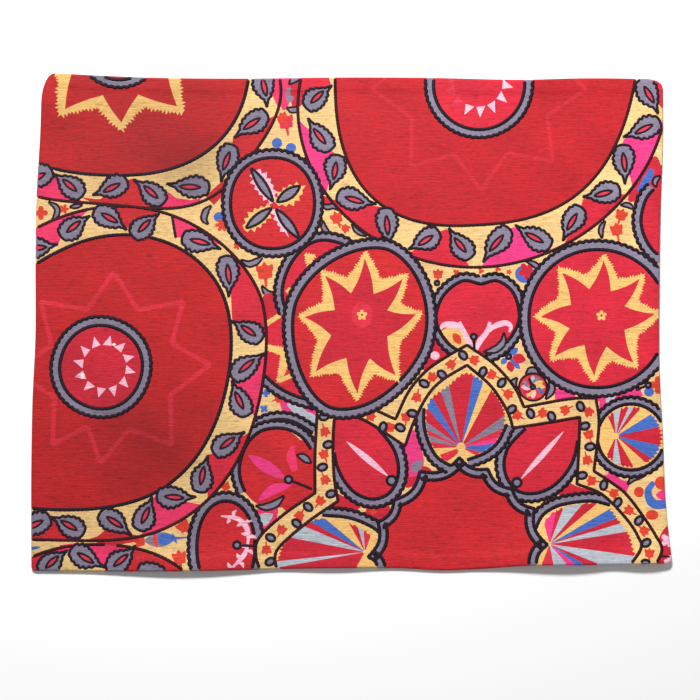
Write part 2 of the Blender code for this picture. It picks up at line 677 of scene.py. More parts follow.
@dataclass(frozen=True)
class Star:
    """Many-pointed star: tips on an oval, and notches half-way between their directions."""

    tips: Oval
    turns: tuple
    notch: float = 0.68
    edge_points: int = 9

    def corners(self, tip: float = 1.0, notch: float = 0.0) -> np.ndarray:
        """Return tips and notches in turn: middle + share * (the oval's point - middle).

        Args:
            tip: share of the oval's reach at which the tips lie.
            notch: share at which the notches lie, or 0 for the star's own.

        Returns:
            Corners in chart pixels, a tip first.
        """
        turns = np.radians(self.turns + (self.turns[0] + 360.0,))
        middle = np.array(self.tips.centre, float)
        peaks = self.tips.at(turns[:-1]) - middle
        dents = self.tips.at(0.5 * (turns[:-1] + turns[1:])) - middle
        pairs = np.stack((peaks * tip, dents * (notch or self.notch)), axis=1)
        return (middle + pairs).reshape(-1, 2)

    def outline(self, bow: float, tip: float = 1.0, notch: float = 0.0) -> np.ndarray:
        """Join the corners by bowed edges.

        Args:
            bow: how far an edge bows aside, as a share of its length.
            tip: share of the oval's reach at which the tips lie.
            notch: share at which the notches lie, or 0 for the star's own.

        Returns:
            Points of the closed outline.
        """
        corners = self.corners(tip, notch)
        ahead = np.roll(corners, -1, axis=0) - corners
        side = np.column_stack((ahead[:, 1], -ahead[:, 0])) * bow
        side[1::2] *= -1.0
        t = np.linspace(0.0, 1.0, self.edge_points, endpoint=False)[None, :, None]
        edge = corners[:, None] + ahead[:, None] * t + side[:, None] * np.sin(math.pi * t)
        return edge.reshape(-1, 2)


@dataclass
class StarMedallion:
    """Oval medallion with a slate scalloped ring and an eight-pointed straw star."""

    disc: Oval
    ground: Thread
    heart: Thread
    star: Star
    eye: tuple
    halo: float
    ring: float = 7.6
    bow: float = 0.04
    tooth: tuple = (2.7, 2.2)
    inner_bow: float = 0.05
    inner_tip: float = 0.905
    inner_notch: float = 0.47
    flower: float = 5.4
    pip: float = 1.6

    def draw(self, chart: Chart) -> None:
        """Add ring, disc, star and centre flower to the chart.

        Args:
            chart: the chart that is drawn on.
        """
        chart.ringed(self.disc.path(), self.ring, self.ground)
        chart.fill(toothed(self.star.outline(self.bow), *self.tooth), Thread.GOLD)
        inner = self.star.outline(self.inner_bow, self.inner_tip, self.inner_notch)
        chart.fill(inner, self.heart)
        if self.halo:
            chart.dot(self.eye, (self.halo, self.halo * 1.25), Thread.GHOST, 40)
        chart.blossom(self.eye, self.flower, Thread.GOLD, 5, -90)
        chart.blossom(self.eye, self.pip, self.heart, 4)


@dataclass
class GhostStar:
    """Faint star drawn in strokes of a slightly lighter thread on a roundel's ground."""

    star: Star
    width: float
    thread: Thread
    waist: float = 0.7
    tooth: tuple = (3.2, 1.2)

    def draw(self, chart: Chart) -> None:
        """Add each straight stretch of the star to the chart.

        Args:
            chart: the chart that is drawn on.
        """
        corners = self.star.corners()
        for start, end in zip(corners, np.roll(corners, -1, axis=0)):
            stroke = ribbon([start, end], (self.width, self.width * self.waist, self.width))
            chart.fill(toothed(stroke, *self.tooth), self.thread)


@dataclass
class PetalFan:
    """Fan of petals side by side that spread from one point inside an outline.

    Petals are rows of end direction in degrees and thread, each beginning where the
    one before it ends.
    """

    root: tuple
    start: float
    petals: list
    bounds: np.ndarray
    margin: float = 3.2
    core: float = 4.5
    tooth: float = 1.9
    ragged: float = 0.38

    def reach(self, sweep: np.ndarray) -> np.ndarray:
        """Measure how far the outline lies from the root.

        Args:
            sweep: directions in radians, anticlockwise from the right.

        Returns:
            The distances in chart pixels.
        """
        away = (evenly(self.bounds, 1.0, True) - self.root) * (1, -1)
        angle = np.arctan2(away[:, 1], away[:, 0])
        return np.interp(sweep, angle, np.hypot(*away.T), period=2 * math.pi)

    def draw(self, chart: Chart) -> None:
        """Add each petal: a wedge that ends in small teeth short of the outline.

        Args:
            chart: the chart that is drawn on.
        """
        begin = self.start
        for end, thread in self.petals:
            arc = math.radians(abs(end - begin)) * float(self.reach(math.radians(end)))
            sweep = np.radians(np.linspace(begin, end, max(int(arc / self.tooth), 4)))
            ray = np.column_stack((np.cos(sweep), -np.sin(sweep)))
            teeth = 1.0 + self.ragged * (-1.0) ** np.arange(len(sweep))
            far = np.maximum(self.reach(sweep) - self.margin * teeth, self.core + 1.0)
            chart.fill(np.vstack((ray * far[:, None], ray[::-1] * self.core)) + self.root, thread)
            begin = end


@dataclass
class FlowerBand:
    """Straw band with dark edges that turns sharp corners, set with dots and flowers.

    Each run is a pair of knot lists: its outer edge and its inner edge. Dots and flowers
    take turns, moved off the middle by each of `sway` in turn, a share of the band's width.
    """

    runs: list
    pitch: float = 24.5
    samples: int = 400
    sway: tuple = (-0.22, 0.0, 0.10, 0.0)
    flower: float = 7.0
    flower_lean: float = 20.0
    dot: tuple = (4.8, 3.4)
    dot_lean: float = 75.0

    def edges(self, side: int) -> np.ndarray:
        """Join one side's runs into a single path with corners between runs."""
        return np.vstack([evenly(smooth_path(run[side]), STROKE_STEP) for run in self.runs])

    def draw(self, chart: Chart) -> None:
        """Add the band, its edge lines, dots and flowers to the chart.

        Args:
            chart: the chart that is drawn on.
        """
        outer, inner = self.edges(0), self.edges(1)
        chart.fill(np.vstack((outer, inner[::-1])), Thread.STRAW)
        chart.line(outer, Outline.BROWN)
        chart.line(inner, Outline.BROWN)
        last = self.samples
        pair = [evenly(edge, lengths(edge)[-1] / last)[: last + 1] for edge in (outer, inner)]
        middle = 0.5 * (pair[0] + pair[1])
        across = pair[0] - pair[1]
        run = lengths(middle)
        dots = []
        for number, station in enumerate(np.arange(self.pitch * 0.5, run[-1] - 4.0, self.pitch * 0.5)):
            spot = int(np.searchsorted(run, station))
            at = middle[spot] + across[spot] * self.sway[number % 4]
            ahead = middle[min(spot + 3, last)] - middle[max(spot - 3, 0)]
            slope = math.degrees(math.atan2(ahead[1], ahead[0]))
            if number % 2:
                heading = 180.0 * (number % 4 == 1) - slope + self.flower_lean
                chart.tulip(tuple(at), self.flower, heading)
            else:
                dots.append(Oval(tuple(at), self.dot, tilt=slope + self.dot_lean))
        for dot in dots:
            chart.edged(dot.path(DOT_POINTS), Thread.SLATE, Outline.LEAF)


@dataclass
class CuspedBorder:
    """Slate border whose edge runs in arcs between outward cusps."""

    cusps: list
    sag: float
    width: float
    arc_points: int = 14
    step: float = 1.4

    def path(self) -> np.ndarray:
        """Join the cusps by arcs: chord + sag * chord's length * sin(pi t) to one side."""
        cusps = np.array(self.cusps, float)
        ahead = np.diff(cusps, axis=0)
        side = np.column_stack((-ahead[:, 1], ahead[:, 0])) * self.sag
        t = np.linspace(0.0, 1.0, self.arc_points, endpoint=False)[None, :, None]
        arc = cusps[:-1, None] + ahead[:, None] * t + side[:, None] * np.sin(math.pi * t)
        return np.vstack((arc.reshape(-1, 2), cusps[-1:]))

    def draw(self, chart: Chart, ground: Thread, floor: list) -> None:
        """Add the border and the plain ground that it bounds.

        Args:
            chart: the chart that is drawn on.
            ground: thread of the ground inside the border.
            floor: chart points that close the ground below.
        """
        outer = evenly(self.path(), self.step)
        inner = outer - facing(outer) * self.width
        chart.fill(np.vstack((outer, np.array(floor, float))), Thread.SLATE)
        chart.line(outer, Outline.BOLD)
        chart.fill(np.vstack((inner, np.array(floor, float))), ground)
        chart.line(inner, Outline.BOLD)


@dataclass
class PetalCross:
    """Small roundel with four slate petals among pale and straw flames."""

    disc: Oval
    flames: list
    petals: list
    ring: float = 6.6
    tooth: tuple = (6.4, 3.4)

    def draw(self, chart: Chart) -> None:
        """Add ring, disc, flames and petals to the chart.

        Flames are rows of root, tip, width and thread; petals are rows of root, tip and
        width.

        Args:
            chart: the chart that is drawn on.
        """
        chart.ringed(self.disc.path(), self.ring, Thread.SCARLET)
        for root, tip, width, thread in self.flames:
            chart.fill(toothed(spindle(root, tip, width), *self.tooth), thread)
        for root, tip, width in self.petals:
            chart.edged(spindle(root, tip, width), Thread.SLATE, Outline.LEAF)


@dataclass
class SuzaniPattern:
    """The whole pattern, motif by motif, from the ground up."""

    chart: Chart = field(default_factory=Chart)

    def draw(self) -> Chart:
        """Draw every motif in order and return the chart."""
        self.ground()
        self.back_medallion()
        self.side_fruits()
        self.roundels()
        self.cross()
        self.buds_and_fans()
        self.fruit()
        self.flower_band()
        self.medallions()
        return self.chart

    def ground(self) -> None:
        """Straw ground with its patches and scattered flowers."""
        c = self.chart
        pink, rose, straw = Thread.MAGENTA, Thread.CRIMSON, Thread.STRAW
        blue, mist = Thread.COBALT, Thread.MIST
        c.patch([(280, 70), (292, 70), (289, 104), (281, 107)], Thread.HOT_PINK)
        c.patch([(291, 72), (301, 72), (301, 107), (292, 107)], rose)
        c.patch([(286, 91), (291, 87), (290, 94), (294, 98), (288, 103)], Thread.SLATE)
        c.hook([(301, 78), (294, 80), (289, 84)], 5)
        c.hook([(287, 108), (293, 110), (300, 108)], 5.6)
        c.tulip((286, 123), 11, 100, Thread.GHOST)
        c.tulip((283, 118), 7, 120)
        for centre in ((277, 143), (291, 148)):
            c.dot(centre, (5.2, 5.2), blue, 20)
        c.blossom((41, 213), 7, Thread.FLAME, 4, 90)
        c.blossom((64, 209), 5)
        for knots, width in (([(49, 202), (56, 207), (57, 213), (52, 221)], 5),
                             ([(70, 207), (76, 206), (82, 205)], 4),
                             ([(211, 206), (206, 211), (204, 219), (208, 224)], 6)):
            c.hook(knots, width)
        c.dot((219, 217), (5.5, 5), blue, 20)
        c.blossom((222, 225), 7, Thread.FLAME, 6)
        c.blossom((237, 246), 4)
        c.hook([(234, 228), (238, 234), (241, 240)], 5)
        c.hook([(241, 260), (249, 264), (257, 261), (263, 256)], 6)
        c.patch([(263, 254), (272, 256), (284, 252), (275, 262), (265, 261)], straw)
        c.tulip((265, 273), 12, 95)
        c.hook([(262, 286), (267, 293), (275, 293)], 5)
        c.patch([(263, 296), (283, 296), (284, 322), (265, 326)], rose)
        c.tulip((337, 219), 8.5, 110)
        c.tulip((345, 228), 6, -40)
        c.hook([(304, 158), (309, 172), (316, 184), (324, 194)], 6.5)
        c.patch([(323, 196), (330, 199), (333, 206), (322, 206)], rose)
        for knots, width in (([(320, 203), (327, 207), (333, 206), (339, 210)], 5),
                             ([(323, 221), (324, 228), (330, 234)], 5),
                             ([(352, 224), (357, 231), (366, 236)], 4)):
            c.hook(knots, width)
        c.patch([(637, 176), (655, 156), (662, 175), (656, 195), (640, 200), (628, 200)], rose)
        c.fill(toothed(ribbon([(639, 191), (646, 181), (652, 170)], (4, 7, 5)), 3, 1.2), blue)
        c.hook([(660, 176), (655, 181), (656, 187)], 5)
        c.tulip((621, 216), 8.5, 70)
        c.tulip((617, 231), 9, 100)
        c.hook([(605, 221), (601, 229), (602, 238)], 4.5)
        c.hook([(621, 205), (628, 205), (634, 209)], 4.5)
        c.dot((525, 274), (10, 9), blue, 24)
        c.blossom((527, 271), 9, rose, 5, 90)
        c.blossom((509, 272), 3)
        c.blossom((529, 286), 3.5)
        c.hook([(526, 261), (534, 264), (540, 270), (540, 278)], 5)
        c.tulip((438, 275), 7, 90)
        c.eyelet((437, 283), 2.2)
        c.patch([(545, 261), (560, 252), (566, 256), (549, 265)], mist)
        c.patch([(551, 258), (562, 251), (556, 260)], Thread.GHOST)
        for x, y in ((456, 272), (481, 271), (498, 269)):
            c.blossom((x, y), 3.2, Thread.FLAME, 3, x)
        c.patch([(425, 352), (437, 340), (448, 354), (452, 362), (425, 372)], rose)
        c.dot((435, 355.5), (4.6, 4.2), Thread.PALE_PINK)
        for root, tip, width, thread in (
                ((509, 355), (518, 348), 7, blue),
                ((507, 358), (501, 364), 6, blue),
                ((510, 358), (520, 369), 6, blue),
                ((512, 357), (526, 360), 10, rose), ((509, 361), (512, 372), 8, rose)):
            c.petal(root, tip, width, thread)
        c.eyelet((508.6, 356.5), 2.4, (502, 349))
        c.patch([(598, 392), (630, 380), (642, 384), (640, 398), (604, 404)], pink)
        c.patch([(604, 394), (616, 392), (612, 402), (602, 404)], mist)
        c.patch([(600, 396), (606, 396), (604, 420), (600, 424)], pink)
        c.patch([(640, 372), (668, 352), (668, 402), (646, 400)], straw)
        c.blossom((658, 385), 9, Thread.FLAME, 4, 0)
        for centre in ((646, 376), (649, 392)):
            c.dot(centre, (5, 4.6), blue)
        c.eyelet((648, 385), 2.6, (636, 390))
        c.patch([(556, 388), (576, 396), (558, 404)], pink)
        self.lower_ground()

    def lower_ground(self) -> None:
        """Flowers and patches of the lower half of the ground."""
        c = self.chart
        pink, rose, straw = Thread.MAGENTA, Thread.CRIMSON, Thread.STRAW
        blue, mist = Thread.COBALT, Thread.MIST
        c.tulip((226, 487), 6.5, 120)
        c.tulip((184, 527), 9.5, 130)
        c.tulip((180, 559), 10, 100)
        c.tulip((141, 541), 8, 185)
        c.petal((144, 541), (176, 538), 15, Thread.SLATE)
        c.petal((154, 540), (176, 538), 12, blue)
        c.petal((154, 532), (157, 548), 5, Thread.FLAME)
        c.stroke([(172, 538), (180, 538), (190, 537)], (3, 2, 1), blue)
        c.petal((172, 533), (177, 544), 3, blue)
        c.petal((28, 549), (41, 547), 3.4, blue)
        c.blossom((266, 393), 4.5, blue, 4)
        c.blossom((264, 409), 4.5, blue, 4, 40)
        c.patch([(280, 394), (300, 402), (318, 408), (318, 432), (300, 422), (284, 414)], pink)
        c.patch([(287, 404), (300, 406), (308, 414), (298, 416)], mist)
        c.patch([(304, 412), (316, 416), (316, 426), (306, 422)], mist)
        c.tulip((278, 399), 6, 20)
        c.patch([(404, 442), (414, 430), (424, 462), (414, 480), (402, 484), (402, 460)], pink)
        c.patch([(404, 478), (416, 476), (424, 466), (432, 474), (408, 488)], rose)
        c.patch([(412, 464), (422, 460), (420, 470), (413, 472)], Thread.SLATE)
        c.patch([(336, 494), (356, 502), (388, 504), (384, 522), (352, 516), (330, 512)], rose)
        c.blossom((362, 510), 4.2, straw, 4)
        c.blossom((373, 511), 4, Thread.FLAME, 4, 20)
        c.patch([(253, 512), (278, 508), (268, 534)], Thread.HOT_PINK)
        c.patch([(259, 515), (273, 514), (265, 526)], mist)
        c.patch([(562, 478), (576, 486), (604, 494), (596, 500), (560, 496)], rose)
        c.patch([(602, 466), (612, 472), (622, 480), (629, 482), (626, 494), (608, 484)], pink)
        c.patch([(594, 458), (604, 462), (608, 474), (596, 472)], straw)
        c.patch([(626, 496), (646, 470), (672, 468), (676, 520), (664, 540), (650, 524)], straw)
        c.stroke([(654, 482), (648, 492), (654, 504), (672, 503)], (5, 9, 9), blue)
        c.dot((639, 492), (5, 5.4), Thread.FLAME)
        c.dot((661, 483), (6.4, 6.6), Thread.FLAME)
        c.patch([(656, 494), (672, 486), (672, 500), (662, 500)], pink)
        c.dot((652, 515), (6.4, 5), Thread.FLAME)
        c.hook([(628, 484), (634, 478), (644, 476)], 5)
        c.patch([(660, 535), (676, 524), (678, 570), (654, 570)], rose)
        c.blossom((668, 540), 8, Thread.PALE_PINK, 5)
        c.blossom((669, 561), 6, Thread.PALE_PINK, 5, 40)
        c.rule((660, 556), (676, 557), Outline.FINE)

    def roundels(self) -> None:
        """The large leaf-bordered roundels, cut off by the panel's edges."""
        c = self.chart
        pink, mag, red, crim = Thread.HOT_PINK, Thread.MAGENTA, Thread.SCARLET, Thread.ROSE_RED
        LeafRoundel(
            disc=Oval((97, 672), (96, 96)), rim=Oval((97, 638), (118, 93.5), 2.2),
            ground=Thread.RUBY, leaves=[
                Leaf((14, 575), (30, 560), bare=True), Leaf((52, 562), (66, 549)),
                Leaf((84, 557), (104, 569)), Leaf((120, 561), (137, 547)),
                Leaf((153, 573), (178, 577)), Leaf((190, 600), (196, 590), bare=True)],
            fields=[crim, None, pink, red, pink],
            patches=[([(52, 556), (60, 545), (77, 543), (77, 550), (64, 552)], pink)]).draw(c)
        LeafRoundel(
            disc=Oval((108.5, 51), (142, 124), 2.4, 2.5),
            rim=Oval((72, 82.5), (190, 110), 3.35, 20.5, (0.03, -0.09)),
            ground=Thread.RUBY, leaves=[
                Leaf((38, 177), (20, 186)), Leaf((70.5, 186), (54, 172)), Leaf((113, 187), (93, 197)),
                Leaf((152, 193), (135, 178)), Leaf((194, 187), (166, 186)), Leaf((227, 159), (219, 181)),
                Leaf((254, 122), (233, 136)), Leaf((264, 86), (269, 107)),
                Leaf((280, 60), (282, 40), bare=True)],
            fields=[pink, None, red, None, None, red, None, pink], patches=[
                ([(163, 190), (170, 193), (176, 198), (190, 200), (201, 198), (200, 202), (191, 206),
                  (181, 209), (164, 209), (158, 200)], pink),
                ([(206, 197), (212, 190), (220, 183), (230, 174), (236, 166), (228, 190), (214, 205)],
                 red),
                ([(80, 197), (95, 199), (112, 199), (130, 196), (130, 206), (100, 206)], red)]).draw(c)
        star = Star(Oval((119, 52), (88, 78), 2.4), (43, 88, 133, 178, 223, 268, 313, 358), 0.72)
        c.fill(toothed(star.outline(0.03), 3.7, 3.2), Thread.GOLD)
        c.fill(star.outline(0.03, 0.905, 0.57), Thread.RUBY)
        c.ringed(Oval((119.5, 50), (33, 30)).path(), 6.6, Thread.MADDER, SMALL_LOBE)
        LeafRoundel(
            disc=Oval((84.5, 379), (166.5, 128), 1.9, -32, (-0.025, -0.045)),
            rim=Oval((76.5, 384.5), (217, 160.5), 1.8, -25.5, (-0.06, -0.035)),
            ground=Thread.RUBY, leaves=[
                Leaf((36, 248), (58, 246)), Leaf((73, 227), (89, 214)), Leaf((108, 217), (128, 228)),
                Leaf((144, 226), (158, 212)), Leaf((174, 228), (172, 216), back=10, bare=True),
                Leaf((197, 241), (222, 247)), Leaf((228, 271), (231, 297)), Leaf((249, 331), (232, 319)),
                Leaf((244, 368), (264, 351)), Leaf((240, 402), (230, 381)), Leaf((226, 444), (244, 430)),
                Leaf((202, 477), (206, 455)), Leaf((172, 497), (196, 499)), Leaf((145, 516), (154, 497)),
                Leaf((113, 521), (133, 534)), Leaf((70, 526), (51, 515)), Leaf((36, 524), (16, 534))],
            fields=[pink, None, red, None, pink, None, crim, None, pink, None, crim, None, pink,
                    None, None, red],
            patches=[([(86, 540), (98, 536), (105, 530), (118, 532), (136, 535), (140, 541),
                       (112, 546)], red)]).draw(c)
        star = Star(Oval((112, 368), (98, 96)), (-137, -89, -43, -2, 52, 97, 128, 178), 0.66)
        GhostStar(star, width=4, thread=Thread.FAINT).draw(c)
        SpikeRing(ring=Oval((101, 367), (41, 41.5), 2.1, 20), band=7.6, ground=Thread.CRIMSON,
                  spike_ring=Oval((104.4, 366.6), (22, 22)), spikes=12, spike=0.44,
                  pale=(0, 360)).draw(c)
        # Painted highlight: two white specks stand for glints on the spikes.
        c.dot((114, 344.5), (1.8, 1.4), Thread.GLINT_WHITE, 12)
        c.fill(Oval((82.5, 376), (1.9, 3), 2, 20).path(12), Thread.GLINT_WHITE)
        LeafRoundel(
            disc=Oval((482.5, 42.5), (152, 180), 2.7, 2, (0.03, -0.015)),
            rim=Oval((482.5, 103.5), (185.5, 161), 2, -11.5, (0.005, -0.01)),
            ground=Thread.BRICK, leaves=[
                Leaf((318, 60), (304, 40), bare=True), Leaf((317, 97), (331, 84)),
                Leaf((321, 138), (306, 119)), Leaf((335, 170), (332, 190)), Leaf((352, 199), (376, 206)),
                Leaf((387, 223), (389, 247)), Leaf((426, 240), (409, 251)), Leaf((461, 246), (447, 229)),
                Leaf((499, 240), (481, 261)), Leaf((537, 239), (514, 227)), Leaf((573, 220), (561, 240)),
                Leaf((605, 193), (583, 199)), Leaf((624, 160), (627, 184)), Leaf((646, 128), (624, 139)),
                Leaf((648, 93), (660, 113)), Leaf((636, 60), (668, 40), bare=True)],
            fields=[crim, None, mag, None, crim, None, crim, None, mag, None, crim, None, mag, None,
                    crim], disc_line=Outline.BROWN).draw(c)
        star = Star(Oval((479, 85), (107, 105)), (2, 46, 89, 130, 178, 226, 270, 314), 0.70)
        GhostStar(star, width=3, thread=Thread.HAZE).draw(c)
        SpikeRing(ring=Oval((479, 85), (45.5, 44.5)), band=7, ground=Thread.ROSE_RED,
                  spike_ring=Oval((478, 82), (25, 25)), spikes=14, spike=0.42,
                  pale=(-30, 118)).draw(c)

    def back_medallion(self) -> None:
        """The red medallion half hidden at the left of the middle one, and the right edge's."""
        c = self.chart
        upper = smooth_path([(352, 250), (340, 243), (322, 240), (306, 246), (291, 263), (283, 284),
                             (283, 301), (290, 318)])
        c.fill(np.vstack((upper, [(360, 330)])), Thread.ROSE_RED)
        c.band(upper, -6.2)
        c.fill(toothed(evenly(np.array([(305, 254), (315, 255), (308, 268)]), 1, True),
                       2.6, 1.8), Thread.GOLD)
        c.blossom((289, 291), 3.6, Thread.GOLD, 4)
        lower = smooth_path([(262, 373), (278, 387), (296, 396), (317, 402), (336, 406)])
        c.fill(np.vstack((lower, [(360, 330), (290, 312), (266, 318)])), Thread.ROSE_RED)
        c.band(lower, -6.2)
        c.stroke([(266, 324), (280, 315)], (5, 5), Thread.GOLD)
        c.fill(toothed(ribbon([(266, 347), (277, 350), (284, 353), (283, 366), (279, 382)],
                              (4, 7, 7, 4)), 2.6, 1.4), Thread.GOLD)
        c.stroke([(279, 381), (297, 373)], (4, 5), Thread.GOLD)
        right = smooth_path([(654, 189), (647, 197), (643, 208), (641, 221), (644, 236), (652, 250),
                             (662, 258)])
        c.fill(np.vstack((right, [(690, 262), (690, 189)])), Thread.CRIMSON)
        c.band(right, -6.6)

    def cross(self) -> None:
        """The small roundel with four petals between the large ones."""
        pale, gold = Thread.PALE_PINK, Thread.GOLD
        PetalCross(disc=Oval((272.5, 203), (42, 45.5), 2.15), flames=[
            ((274, 202), (253, 169), 14, pale), ((276, 203), (303, 187), 15, gold),
            ((271, 207), (244, 229), 14, gold), ((274, 209), (287, 234), 5, pale)], petals=[
            ((273, 201.5), (251, 168), 8), ((277, 202), (300, 186), 9.5),
            ((271.5, 208), (246, 228), 8.5), ((276, 209), (299, 238), 8.5)]).draw(self.chart)

    def side_fruits(self) -> None:
        """The two small fruits between the lower left roundel and the flowered band."""
        c = self.chart
        double = smooth_path([(250, 434), (262, 424), (277, 419.5), (294, 422), (313, 433)])
        c.band(double, 5.8)
        disc = Oval((274, 468), (35.5, 40), 2.1)
        c.fill(disc.path(), Thread.SCARLET)
        c.fill(np.array([(274, 500), (300, 440), (330, 440), (330, 490), (290, 515)], float),
               Thread.SCARLET)
        arc = smooth_path([(245, 492), (240, 478), (240, 462), (247, 444), (259, 432), (274, 428),
                           (290, 430), (303, 438), (311, 449)])
        c.band(arc, 6)
        c.petal((248, 455), (286, 479), 12, Thread.MAGENTA)
        c.stroke([(293, 446), (291, 456), (295, 471)], (4, 10, 6), Thread.HOT_PINK)
        c.petal((258, 501), (292, 485), 10, Thread.MAGENTA, 0.1)
        c.eyelet((288.5, 479.5), 3.6, (312, 489))
        c.hook([(297, 455), (303, 457), (311, 463)], 6.5)
        c.hook([(256, 506), (265, 507), (275, 504), (284, 496)], 7)
        pome = Oval((226, 547), (29, 46), 2.1)
        c.ringed(pome.path(), 7.2, Thread.SCARLET)
        branch = [(221, 516), (238, 519), (247, 529), (248, 542), (244, 555), (233, 567)]
        c.stroke(branch, (1.5, 4.5, 5.5, 2.5, 5, 2), Thread.PALE_PINK)
        bough = evenly(smooth_path(branch), 6.5)
        for number, (root, side) in enumerate(zip(bough[1:], facing(bough)[1:])):
            tip = root + side * (8.5 if number % 2 else -7)
            c.petal(root, tip, 3.6, Thread.PALE_PINK, 0.25)
        c.eyelet((237, 545), 3.6, (255, 546))

    def buds_and_fans(self) -> None:
        """The cusped ground with the buds, fans and palmette round it."""
        c = self.chart
        self.buds()
        self.fans()
        border = CuspedBorder(cusps=[(378, 569), (368, 557), (378, 522), (394, 500), (420, 471.5),
                                     (459.5, 457.5), (488, 469), (512, 489), (534.5, 508.5),
                                     (547, 544.6), (536, 570)], sag=0.17, width=7.4)
        border.draw(c, Thread.SCARLET, [(536, 600), (378, 600)])
        self.palmette()

    def flower_band(self) -> None:
        """The straw band that zigzags over the cusped ground."""
        FlowerBand([
            ([(262, 574), (256, 556), (259, 538), (283, 515), (315, 493)],
             [(278, 574), (275, 556), (283, 543), (309, 521), (338, 501)]),
            ([(315, 493), (315, 455), (317, 415), (318, 392)],
             [(338, 501), (334, 476), (333, 440), (335, 410)]),
            ([(318, 392), (352, 400), (395, 419)], [(335, 410), (366, 421), (405, 446)]),
            ([(396, 418), (409, 391), (426, 371), (446, 357), (467, 345)],
             [(405, 446), (413, 424), (426, 398), (441, 381), (467, 365)]),
            ([(467, 345), (489, 360), (501, 371), (515, 388), (524, 407)],
             [(467, 365), (489, 384), (501, 400), (509, 415), (513, 428)]),
            ([(524, 407), (569, 399), (596, 398)], [(513, 428), (546, 423), (580, 417)]),
            ([(596, 398), (599, 425), (594, 471)], [(580, 417), (579, 446), (577, 484)]),
            ([(594, 471), (612, 483), (626, 494), (643, 516), (655, 535), (661, 551), (648, 574)],
             [(577, 484), (598, 492), (612, 503), (629, 522), (638, 537), (640, 549), (622, 574)]),
        ]).draw(self.chart)

    def buds(self) -> None:
        """The two buds under the flowered band's shoulders."""
        c = self.chart
        left = [(333, 412), (350, 404), (376, 426), (392, 446), (398, 463), (397, 480), (388, 494),
                (373, 499), (357, 494), (345, 482), (337, 466)]
        c.band(smooth_path(left[2:] + [(334, 452)]), 7)
        c.fill(smooth_path(left, True), Thread.ROSE_RED)
        c.line(smooth_path(left[2:] + [(334, 452)]), Outline.BOLD)
        c.petal((346, 441), (389, 477), 6.4, Thread.PALE_PINK)
        c.eyelet((391.5, 480.5), 4.6)
        right = [(578, 440), (574, 458), (568, 470), (558, 482), (546, 490), (532, 493.5), (518, 491),
                 (508, 480), (504, 465), (507, 450), (514, 440), (526, 428)]
        c.band(smooth_path(right), 6.6)
        c.fill(smooth_path(right + [(550, 418), (580, 415)], True), Thread.ROSE_RED)
        c.line(smooth_path(right), Outline.BOLD)
        c.petal((520, 480), (564, 431), 5.6, Thread.PALE_PINK)
        c.eyelet((517, 482.5), 4.4)

    def fans(self) -> None:
        """The petal fans at the foot and at the right edge."""
        c = self.chart
        gold, mist, blue = Thread.GOLD, Thread.MIST, Thread.COBALT
        red, pink = Thread.CRIMSON, Thread.MAGENTA
        shape = smooth_path([(276, 580), (276, 556), (284, 540), (312, 518), (345, 520), (368, 530),
                             (379, 545), (376, 580)], True)
        c.fill(shape, gold)
        PetalFan(root=(365, 552), start=70, petals=[
            (94, Thread.GHOST), (106, mist), (119, red), (140, gold), (151, blue), (157, red),
            (169, mist), (186, red), (190, mist), (240, red)], bounds=shape, core=2).draw(c)
        c.band(smooth_path([(383, 536), (372, 527), (350, 518), (322, 515)]), -6.6)
        shape = smooth_path([(545, 580), (540, 540), (546, 516), (568, 504), (604, 502), (622, 520),
                             (634, 542), (630, 580)], True)
        c.fill(shape, gold)
        PetalFan(root=(549, 544), start=-112, petals=[
            (-80, Thread.GHOST), (-50, mist), (-38, pink), (-30, blue), (-22, red), (-8, mist),
            (9, red), (16, mist), (21, red), (30, blue), (40, gold), (50, red), (68, mist),
            (78, red), (104, pink)], bounds=shape, core=2).draw(c)
        c.band(smooth_path([(534, 532), (542, 516), (555, 507), (570, 503), (592, 501), (610, 505)]),
               6.6)
        disc = Oval((631, 437), (33.5, 33))
        c.ringed(disc.path(), 5.6, gold)
        PetalFan(root=(616, 436), start=-116, petals=[
            (-98, red), (-80, mist), (-60, red), (-42, gold), (-32, red), (-12, blue), (12, red),
            (32, blue), (48, gold), (58, red), (66, mist), (80, red), (96, mist), (112, red)],
            bounds=disc.path(), core=3).draw(c)

    def palmette(self) -> None:
        """The palmette under the flowered band's peak, with its slate ring."""
        c = self.chart
        gold, slate, blue = Thread.GOLD, Thread.SLATE, Thread.COBALT
        red, pink, ghost = Thread.CRIMSON, Thread.MAGENTA, Thread.GHOST
        shape = smooth_path([(461, 450), (448, 465), (436, 456), (427, 441), (423, 420), (428, 398),
                             (446, 384), (467, 370), (490, 384), (505, 404), (507, 424), (498, 443),
                             (484, 454), (468, 459)], True)
        c.fill(shape, gold)
        PetalFan(root=(461, 447), start=-30, petals=[
            (-14, ghost), (6, blue), (15, pink), (24, ghost), (36, slate), (62, red), (71, gold),
            (80, blue), (101, red), (110, slate), (120, red), (131, blue), (144, red), (153, slate),
            (160, ghost), (170, slate), (183, ghost), (200, gold), (240, ghost)], bounds=shape).draw(c)
        for edge in ([(451, 466), (437, 457), (428, 441), (424, 425), (424, 408)],
                     [(507, 424), (498, 442), (485, 453), (467, 460)]):
            c.band(smooth_path(edge), 6.4)

    def medallions(self) -> None:
        """The two star medallions."""
        StarMedallion(
            disc=Oval((359, 327), (67, 84), 1.75, 20, (-0.01, -0.015)),
            ground=Thread.SCARLET, heart=Thread.CRIMSON,
            star=Star(Oval((360, 326), (62, 75), tilt=10), (-96, -58, -22, 44, 82, 124, 179, 225)),
            eye=(362, 315), halo=10.5).draw(self.chart)
        StarMedallion(
            disc=Oval((597.5, 318.5), (68.5, 69), 2.05),
            ground=Thread.ROSE_RED, heart=Thread.ROSE_RED,
            star=Star(Oval((597.5, 318), (63, 64)), (-84, -43, -4, 51, 93, 138, 181, 232)),
            eye=(601.5, 315.5), halo=0).draw(self.chart)

